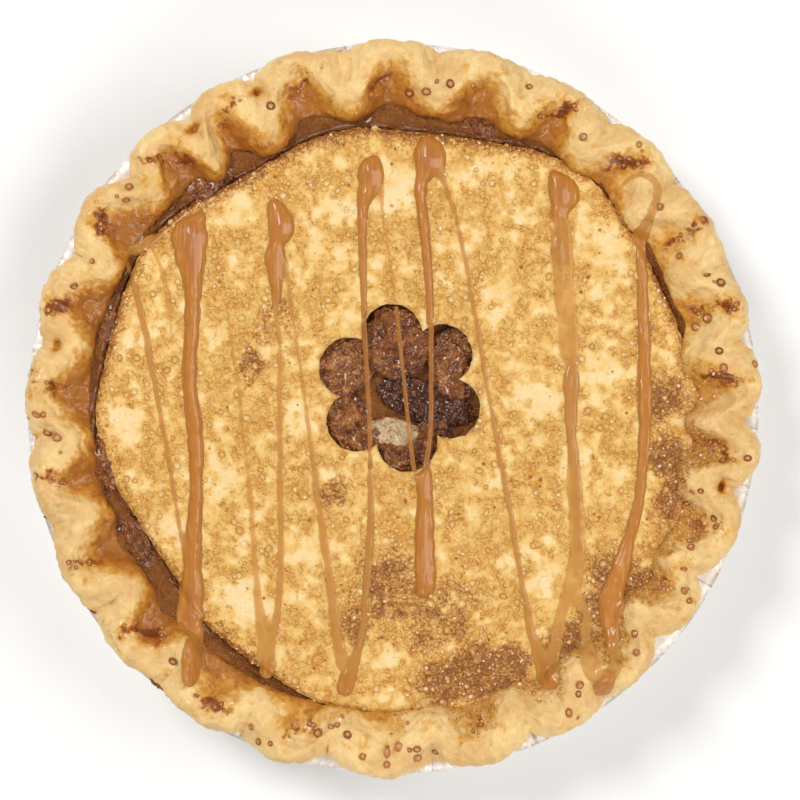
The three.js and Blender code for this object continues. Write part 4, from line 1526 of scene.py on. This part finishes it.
def apple_piece(name, centre, half, yaw, tilt, bend, tone, seed, detail):
    """A soft wrinkled piece of cooked apple."""
    unit, faces = ball(detail)
    flat = np.sign(unit) * np.abs(unit) ** np.array((0.9, 0.9, 0.62))
    points = flat * np.array(half)
    points[:, 2] += bend * points[:, 0] ** 2
    wrinkle = rolling(points / (2.6, 1, 1), 2.4, seed, 3)
    sag = rolling(points, 7, seed + 1, 2)
    normal = unit / np.array(half)
    normal /= np.linalg.norm(normal, axis=1, keepdims=True)
    ridges = 0.3 - np.abs(rolling(points / (1.6, 1, 1), 3.4, seed + 2, 3))
    pinch = 0.25 - np.abs(rolling(points / (1, 1.4, 1), 1.9, seed + 3, 2))
    points += normal * (0.45 * wrinkle + 0.8 * sag + 1.3 * ridges + 0.5 * pinch)[:, None]
    turn = Euler((math.radians(tilt), 0, math.radians(yaw))).to_matrix()
    points = points @ np.array(turn).T + np.array(centre)
    # The tone is lighter on the raised wrinkles and ridges and darker low on the piece: painted
    # light and shade over the piece's own tone, partly a syrup-brown edge.
    shade = tone + 0.2 * wrinkle + 0.35 * ridges - 0.3 * (1 - ease(0.1, 0.7, unit[:, 2]))
    return new_mesh(name, points, faces, {"tone": np.clip(shade, 0, 1.2)})


class PIE_OT_filling(bpy.types.Operator):
    """Makes the syrup and the apple pieces that show"""

    bl_idname = "pie.filling"
    bl_label = "Filling"

    def execute(self, context):
        colours = context.scene.pie_colours
        syrup = new_piece("apple_syrup", filling_mesh(context.scene.pie_lid))
        finish_piece(syrup, syrup_finish(colours), ["apple_filling"])
        skin, burnt = apple_finish(colours), drip_finish()
        bend, tone, chunk_detail, slice_detail = -0.005, 0.5, 5, 6
        drip_level, drip_half_height, drip_detail = 31.6, 1.3, 4
        pieces = []
        for seed, (node, x, y, z, *form) in enumerate(SLICES, 60):
            form = ((WINDOW.x + x, WINDOW.y + y, z), *form, seed, slice_detail)
            pieces.append((node.replace("apple", "cooked"), form, "apple", skin, [node]))
        for seed, (node, at, r, z, half) in enumerate(CHUNKS, 80):
            form = (place_at(at, r, z), half, at + 90, 0, bend, tone, seed, chunk_detail)
            pieces.append((node.replace("apple", "cooked"), form, "apple", skin, [node]))
        for i, (at, r, along, across) in enumerate(BURNT_DRIPS, 1):
            half = (across, along, drip_half_height)
            form = (place_at(at, r, drip_level), half, at, 0, 0, tone, 80 + i, drip_detail)
            pieces.append((f"burnt_drip_{i}", form, "filling", burnt, []))
        for name, form, slot, finish, replaced in pieces:
            finish_piece(new_piece(name, apple_piece(name, *form)), finish, replaced)
        return {"FINISHED"}


# ---- poured caramel


def smooth_run(stops, step=1.0):
    """Points along a soft curve through stops, with their widths, step mm apart."""
    stops = np.array(stops, float)
    padded = np.concatenate([[2 * stops[0] - stops[1]], stops, [2 * stops[-1] - stops[-2]]])
    parts = []
    for i in range(1, len(padded) - 2):
        a, b, c, d = padded[i - 1:i + 3]
        steps = max(2, int(np.linalg.norm((c - b)[:2]) / step))
        t = np.linspace(0, 1, steps, endpoint=False)[:, None]
        squared, cubed = 2 * a - 5 * b + 4 * c - d, 3 * b - a - 3 * c + d
        parts.append(0.5 * (2 * b + (c - a) * t + squared * t**2 + cubed * t**3))
    parts.append(stops[-1:])
    return np.concatenate(parts)


def poured_patch():
    """A flat fine net over every run, with how thick the caramel is to lie at each point."""
    step, spill, above = 0.5, 1.3, 60
    low_x, low_y, across, up = -93.0, -99.0, 398, 382
    lowest = -0.9
    depth = np.full((across, up), -9.0)
    body = np.zeros((across, up))

    def reached(middle, low, most, reach):
        """The first row of the net within reach, and the places of all such rows."""
        first = max(int((middle - reach - low) / step), 0)
        last = min(int((middle + reach - low) / step) + 2, most)
        return first, low + step * np.arange(first, last)

    for index, (look, stops) in enumerate(POURED):
        run = smooth_run(stops, 0.35)
        waver = rolling(run * (1, 1, 0), 5, 60 + index, 2)
        run[:, 2] = np.maximum(run[:, 2], 0.4) * (1 + 0.17 * waver)
        run[:, 0] += 0.4 * rolling(run * (1, 1, 0), 11, 90 + index, 3)
        for x, y, wide in run.tolist():
            i, gx = reached(x, low_x, across, wide + spill)
            j, gy = reached(y, low_y, up, wide + spill)
            gx, gy = gx[:, None], gy[None, :]
            inside = 1 - ((gx - x) ** 2 + (gy - y) ** 2) / wide**2
            ribs = np.sin(4.4 * (gx - x) / wide + 0.8 + 0.15 * index)
            drawn = 1 + 0.22 * ease(1.0, 2.2, wide) * ribs
            tall = 0.76 * wide**0.68 * lerp(0.26, 1.0, look) * drawn
            here = np.where(inside > 0, tall * np.sqrt(np.abs(inside)), 0.45 * wide * inside)
            block = (slice(i, i + here.shape[0]), slice(j, j + here.shape[1]))
            body[block] = np.where(here > depth[block], look, body[block])
            depth[block] = np.maximum(depth[block], here)
    depth = np.maximum(depth, lowest)
    for axis in (0, 1, 0, 1):
        depth = 0.5 * depth + 0.25 * (np.roll(depth, 1, axis) + np.roll(depth, -1, axis))
        body = 0.5 * body + 0.25 * (np.roll(body, 1, axis) + np.roll(body, -1, axis))
    used = depth > -0.5
    a, b = np.nonzero(used[:-1, :-1] & used[1:, :-1] & used[:-1, 1:] & used[1:, 1:])
    first, after = a * up + b, (a + 1) * up + b
    corners = np.stack([first, after, after + 1, first + 1], axis=1)
    kept, faces = np.unique(corners, return_inverse=True)
    x, y = low_x + step * (kept // up), low_y + step * (kept % up)
    points = np.stack([x, y, 0 * kept + above], axis=1)
    values = {"deep": depth.ravel()[kept] * MM, "body": body.ravel()[kept]}
    return new_mesh("poured_patch", points, faces.reshape(-1, 4), values)


def draped_tree():
    """Lays a net on the pieces below it and gives it the thickness it asks for."""
    nodes = Maker(
        "draped_caramel", Net="Geometry", Lid="Object", Rim="Object", Filling="Object",
        Levelling="Int", Lowest="Float", Ripple="Float",
    )
    given = nodes.given
    sunk = -0.0011

    def both(*shapes):
        """Several shapes as one."""
        whole = nodes.add("GeometryNodeJoinGeometry")
        for shape in shapes:
            nodes.tree.links.new(shape.socket, whole.socket.node.inputs[0])
        return whole

    below = both(nodes.thing("Lid"), nodes.thing("Rim"), nodes.thing("Filling"))
    fall = nodes.add("GeometryNodeRaycast", {
        "Target Geometry": below, "Ray Direction": (0.0, 0.0, -1.0), "Ray Length": 0.05,
    }, "Hit Position")
    marked = nodes.keep(given("Net"), "under", nodes.parts(fall)[2])
    deep, under = nodes.named("deep"), nodes.named("under")
    past_edge = nodes.add("FunctionNodeCompare", {
        "A": under, "B": given("Lowest"),
    }, data_type="FLOAT", operation="LESS_THAN")
    found = nodes.add("GeometryNodeDeleteGeometry", {
        "Geometry": marked, "Selection": past_edge,
    }, domain="POINT", mode="ALL")
    soft = nodes.add("GeometryNodeBlurAttribute", {
        "Value": under, "Iterations": given("Levelling"),
    }, data_type="FLOAT")
    ripple = nodes.noise(nodes.here, 1 / 300, 2)
    thick = deep.ease(0.0001, 0.0007)
    top = under + (soft - under) * (thick * 0.85) + deep
    top = top + (ripple - 0.5) * given("Ripple") * thick
    x, y, _ = nodes.parts(nodes.here)
    place = nodes.joined(x, y, top)
    skin = nodes.add("GeometryNodeSetPosition", {"Geometry": found, "Position": place})
    lower = nodes.add("GeometryNodeExtrudeMesh", {
        "Mesh": skin, "Offset": nodes.joined(0.0, 0.0, sunk), "Offset Scale": 1.0,
        "Individual": False,
    }, mode="FACES")
    whole = both(skin, lower)
    sealed = nodes.add("GeometryNodeMergeByDistance", {"Geometry": whole, "Distance": 1e-6})
    return nodes.finished(sealed)


def strung(stops, lid):
    """A thread between two places on the lid, which sags a little on its way."""
    clear, sag = 0.2, 1.5
    run = smooth_run(stops)
    way = np.linspace(0, 1, len(run))
    first, last = (lid_height(x, y, lid) for x, y in (run[0, :2], run[-1, :2]))
    z = lerp(first, last, way) + clear - sag * np.sin(math.pi * way)
    return np.column_stack([run[:, :2], z, run[:, 2]])


def thread_lines(lid):
    """The middles of the threads over the window, with their widths."""
    runs = [strung(stops, lid) for _, stops in THREADS]
    looks = [np.full(len(run), look) for run, (look, _) in zip(runs, THREADS)]
    edges = []
    first = 0
    for run in runs:
        edges += [(i, i + 1) for i in range(first, first + len(run) - 1)]
        first += len(run)
    whole = np.concatenate(runs)
    deep = np.full(first, 2 * MM)
    values = {"width": whole[:, 3] * MM, "body": np.concatenate(looks), "deep": deep}
    return new_mesh("caramel_lines", whole[:, :3], [], values, edges)


def thread_tree():
    """Sweeps a flattened bead along each line, as wide as the line says."""
    nodes = Maker("caramel_runs", Runs="Geometry", Flatness="Float", Sides="Int", Wobble="Float")
    given = nodes.given
    curves = nodes.add("GeometryNodeMeshToCurve", {"Mesh": given("Runs")})
    upright = nodes.add("GeometryNodeSetCurveNormal", {"Curve": curves}, mode="Z_UP")
    circle = nodes.add("GeometryNodeCurvePrimitiveCircle", {
        "Resolution": given("Sides"), "Radius": 1.0,
    }, mode="RADIUS")
    squash = nodes.joined(1.0, given("Flatness"), 1.0)
    bead = nodes.add("GeometryNodeTransform", {"Geometry": circle, "Scale": squash})
    swept = nodes.add("GeometryNodeCurveToMesh", {
        "Curve": upright, "Profile Curve": bead, "Scale": nodes.named("width"), "Fill Caps": True,
    })
    return nodes.finished(nodes.shaken(swept, 1 / 260))


class PIE_OT_caramel(bpy.types.Operator):
    """Pours the caramel over the lid and the rim"""

    bl_idname = "pie.caramel"
    bl_label = "Caramel"

    def execute(self, context):
        scene = context.scene
        found = scene.objects
        caramel = caramel_finish(scene.pie_colours)
        poured = grown(
            "caramel_drizzle", poured_patch(), draped_tree(), Lid=found["sugared_lid"],
            Rim=found["crimped_shell"], Filling=found["apple_syrup"], Levelling=6,
            Lowest=0.028, Ripple=0.0002, Finish=caramel,
        )
        threads = grown(
            "caramel_threads", thread_lines(scene.pie_lid), thread_tree(),
            Flatness=scene.pie_topping.flat, Sides=14, Wobble=0.0004, Finish=caramel,
        )
        for piece in (poured, threads):
            outward(piece.data)
            finish_piece(piece)
        return {"FINISHED"}


# ---- scattered sugar


def unit_blister(name, sides):
    """A burst bubble one unit in radius, with a raised rim and a sunken middle."""
    rows = (
        # radius, height, how much of an edge it is, how solid it is
        (0.4, 0.2, 0.2, 0.9),
        (0.66, 0.34, 1.0, 1.0),
        (0.84, 0.26, 0.9, 0.9),
        (1.2, -0.1, 0.5, 0.0),
    )
    points = [(0, 0, 0.18)]
    band, fade = [0.0], [0.8]
    for radius, z, edge, shown in rows:
        for turn in TURN * np.arange(sides) / sides:
            points.append((radius * math.cos(turn), radius * math.sin(turn), z))
        band += [edge] * sides
        fade += [shown] * sides
    points.append((0, 0, -0.3))
    band.append(0.7)
    fade.append(0.0)
    last = 1 + (len(rows) - 1) * sides
    faces = []
    for i in range(sides):
        after = (i + 1) % sides
        faces.append((0, 1 + i, 1 + after))
        for start in range(1, last, sides):
            a, b = start + i, start + after
            faces.append((a, a + sides, b + sides, b))
        faces.append((len(points) - 1, last + after, last + i))
    mesh = new_mesh(name, np.array(points) / MM, faces, {"band": band, "fade": fade})
    return bpy.data.objects.new(name, mesh)


def unit_grain(name):
    """A chipped grain one unit in radius."""
    points, faces = ball(1)
    points *= 1 + 0.22 * rolling(points, 0.9, 3, 1)[:, None]
    mesh = new_mesh(name, points / MM, faces)
    mesh.shade_flat()
    return bpy.data.objects.new(name, mesh)


def scatter_tree():
    """Sets copies of a small shape on a surface where its number for them is high."""
    nodes = Maker(
        "scattered_sugar", Surface="Geometry", Shape="Object", Number="String", Density="Float",
        Apart="Float", Smallest="Float", Largest="Float", Wobble="Float", Seed="Int",
    )
    given = nodes.given
    seed = given("Seed")
    spread = nodes.add("GeometryNodeDistributePointsOnFaces", {
        "Mesh": given("Surface"), "Distance Min": given("Apart"), "Density Max": given("Density"),
        "Density Factor": nodes.named(given("Number")), "Seed": seed,
    }, distribute_method="POISSON")
    chance = nodes.chance(seed)
    size = chance * chance * (given("Largest") - given("Smallest")) + given("Smallest")
    uneven = nodes.uneven(seed + 1, (0.78, 0.78, 0.7), (1.2, 1.2, 1.2))
    spin = nodes.add("FunctionNodeAxisAngleToRotation", {
        "Axis": (0, 0, 1), "Angle": nodes.chance(seed + 2, TURN),
    })
    turned = nodes.add("FunctionNodeRotateRotation", {
        0: spread.other("Rotation"), 1: spin,
    }, rotation_space="LOCAL")
    sugar = nodes.copies(spread, turned, uneven.times(size), seed + 3)
    return nodes.finished(nodes.shaken(sugar, 1 / 700), smooth=False)


def spots_tree():
    """Sets one shape on each point, as wide as the point says and facing its way."""
    nodes = Maker(
        "placed_blisters", Points="Geometry", Shape="Object", Seed="Int", Wobble="Float"
    )
    seed = nodes.given("Seed")
    facing = {"Vector": nodes.named("facing", "FLOAT_VECTOR")}
    turned = nodes.add("FunctionNodeAlignRotationToVector", facing, axis="Z")
    uneven = nodes.uneven(seed, (0.8, 0.8, 0.7), (1.2, 1.2, 1.0))
    scale = uneven.times(nodes.named("wide"))
    rings = nodes.copies(nodes.given("Points"), turned, scale, seed + 1)
    return nodes.finished(nodes.shaken(rings, 1 / 600))


def spot_points(rim, seed):
    """A point for each ring-shaped blister on the rim, with its size and which way it faces."""
    lowest, lift = 0.032, 0.00002
    placed_size, burnt_size = (0.0011, 0.0016), (0.0006, 0.0009)
    dice = np.random.default_rng(seed)
    places = [place_at(at, r) for at, r in RIM_SPOTS]
    for at, r in RIM_SPOTS[::3]:
        far, turn = dice.uniform(2.4, 5), dice.uniform(0, 360)
        places.append(place_at(at, r) + place_at(turn, far))
    for notch, width, (_, dark, start, end) in zip(NOTCHES, CRIMP_WIDTHS, SCOOPS):
        for part in dice.uniform(-0.1, 1.1, round(5 * dark)):
            at = notch + width * lerp(start[0], end[0], part) + dice.normal(0, 0.5)
            places.append(place_at(at, lerp(start[1], end[1], part) + dice.normal(0, 0.8)))
    vertices = [v.co for v in rim.data.vertices]
    tree = BVHTree.FromPolygons(vertices, [p.vertices for p in rim.data.polygons])
    points, sizes, facing = [], [], []
    for i, (x, y, _) in enumerate(places):
        above = Vector((x * MM, y * MM, 0.1))
        hit, normal, _, _ = tree.ray_cast(above, Vector((0, 0, -1)))
        if hit is None or hit.z < lowest:
            continue
        points.append(hit + normal * lift)
        facing.append(normal)
        sizes.append(dice.uniform(*(placed_size if i < len(RIM_SPOTS) else burnt_size)))
    mesh = bpy.data.meshes.new("spot_points")
    mesh.from_pydata(points, [], [])
    keep_numbers(mesh, {"wide": sizes})
    layer = mesh.attributes.new("facing", "FLOAT_VECTOR", "POINT")
    layer.data.foreach_set("vector", np.array(facing, np.float32).ravel())
    return mesh


def top_only(source, wanted):
    """A copy of a piece's upper faces, with how much is wanted at each point."""
    steepest = 0.55
    mesh = source.data.copy()
    keep_numbers(mesh, {"wanted": wanted})
    shape = bmesh.new()
    shape.from_mesh(mesh)
    low = [face for face in shape.faces if face.normal.z < steepest]
    bmesh.ops.delete(shape, geom=low, context="FACES")
    shape.to_mesh(mesh)
    shape.free()
    return mesh


class PIE_OT_sugar(bpy.types.Operator):
    """Scatters sugar blisters and grains over the lid and the rim"""

    bl_idname = "pie.sugar"
    bl_label = "Sugar"

    def execute(self, context):
        topping = context.scene.pie_topping
        lid = context.scene.objects["sugared_lid"]
        rim = context.scene.objects["crimped_shell"]
        cover, brown = kept_numbers(lid, "sugar"), kept_numbers(lid, "brown")
        blistered = 0.06 + 0.94 * ease(0.35, 0.75, cover) * (1 - 0.3 * brown)
        grainy = np.clip(0.03 + 0.24 * ease(0.5, 0.9, cover) + 0.4 * brown, 0, 1)
        baked_on = kept_numbers(rim, "crust") * 0.8
        blister, grain = unit_blister("unit_blister", 9), unit_grain("unit_grain")
        ring = unit_blister("unit_ring", 14)
        bubbly, glassy = blister_finish(), grain_finish(context.scene.pie_colours)
        tree = scatter_tree()
        for name, on, wanted, shape, density, sizes, wobble, seed, finish in (
            # sizes: least distance apart, smallest and largest radius
            ("sugar_blisters", lid, blistered, blister, topping.blisters,
             (0.0012, 0.0004, 0.0013), 0.0006, 0, bubbly),
            ("sugar_grains", lid, grainy, grain, topping.grains,
             (0.0007, 0.00022, 0.0007), 0.0002, 10, glassy),
            ("rim_grains", rim, baked_on, grain, topping.grains,
             (0.0008, 0.00025, 0.0008), 0.0002, 20, glassy),
        ):
            apart, smallest, largest = sizes
            piece = grown(
                name, top_only(on, wanted), tree, Shape=shape, Number="wanted", Density=density,
                Apart=apart, Smallest=smallest, Largest=largest, Wobble=wobble,
                Seed=topping.seed + seed, Finish=finish,
            )
            finish_piece(piece)
        piece = grown(
            "rim_blisters", spot_points(rim, topping.seed), spots_tree(), Shape=ring,
            Seed=topping.seed, Wobble=0.0004, Finish=spot_finish(),
        )
        finish_piece(piece)
        for helper in (blister, grain, ring):
            bpy.data.objects.remove(helper)
        return {"FINISHED"}


# ---- stage


class PIE_OT_stage(bpy.types.Operator):
    """Sets the floor, the lights and the camera"""

    bl_idname = "pie.stage"
    bl_label = "Stage"

    def execute(self, context):
        scene = context.scene
        half, level = 1600.0, -0.3
        corners = [(x * half, y * half, level) for x, y in ((-1, -1), (1, -1), (1, 1), (-1, 1))]
        floor = new_piece("pale_floor", new_mesh("pale_floor", corners, [(0, 1, 2, 3)]))
        floor.data.materials.append(floor_finish(scene.pie_colours))
        for name, place, size, power in (
            ("window_light", (-0.65, 0.6, 1.1), 0.5, 10.6),
            ("fill_light", (0.9, 0.1, 1.0), 0.7, 6.0),
            ("low_light", (0.25, -1.0, 0.9), 0.7, 6.0),
        ):
            lamp = bpy.data.lights.new(name, "AREA")
            lamp.shape = "DISK"
            lamp.size = size
            lamp.energy = power
            light = bpy.data.objects.new(name, lamp)
            light.location = place
            light.rotation_euler = (-Vector(place)).to_track_quat("-Z", "Y").to_euler()
            scene.collection.objects.link(light)
        world = bpy.data.worlds.new("soft_room")
        world.use_nodes = True
        ground = world.node_tree.nodes["Background"]
        ground.inputs["Color"].default_value = (1.0, 0.99, 0.975, 1)
        ground.inputs["Strength"].default_value = 0.27
        scene.world = world
        lens = bpy.data.cameras.new("overhead")
        lens.lens = 85
        lens.sensor_width = 36
        camera = bpy.data.objects.new("overhead", lens)
        camera.location = (0.00226, 0.00272, 0.658)
        scene.collection.objects.link(camera)
        scene.camera = camera
        scene.view_settings.view_transform = "Standard"
        scene.view_settings.look = "None"
        return {"FINISHED"}


# ---- add-on


class PIE_PT_panel(bpy.types.Panel):
    """Lists the steps that build the pie"""

    bl_idname = "PIE_PT_panel"
    bl_label = "Caramel apple pie"
    bl_space_type = "VIEW_3D"
    bl_region_type = "UI"
    bl_category = "Pie"

    def draw(self, context):
        for step in STEPS:
            self.layout.operator(step.bl_idname)


SIZES = {
    "pie_tin": TinSizes,
    "pie_pastry": PastrySizes,
    "pie_lid": LidSizes,
    "pie_topping": ToppingSizes,
    "pie_colours": PieColours,
}
STEPS = (
    PIE_OT_tin, PIE_OT_shell, PIE_OT_lid, PIE_OT_filling, PIE_OT_caramel, PIE_OT_sugar,
    PIE_OT_stage,
)


def register():
    for kind in (*SIZES.values(), *STEPS, PIE_PT_panel):
        bpy.utils.register_class(kind)
    for name, kind in SIZES.items():
        setattr(bpy.types.Scene, name, PointerProperty(type=kind))


def unregister():
    for name in SIZES:
        delattr(bpy.types.Scene, name)
    for kind in (PIE_PT_panel, *reversed(STEPS), *SIZES.values()):
        bpy.utils.unregister_class(kind)


def main():
    register()
    bpy.ops.pie.tin()
    bpy.ops.pie.shell()
    bpy.ops.pie.lid()
    bpy.ops.pie.filling()
    bpy.ops.pie.caramel()
    bpy.ops.pie.sugar()
    bpy.ops.pie.stage()


if __name__ == "__main__":
    main()
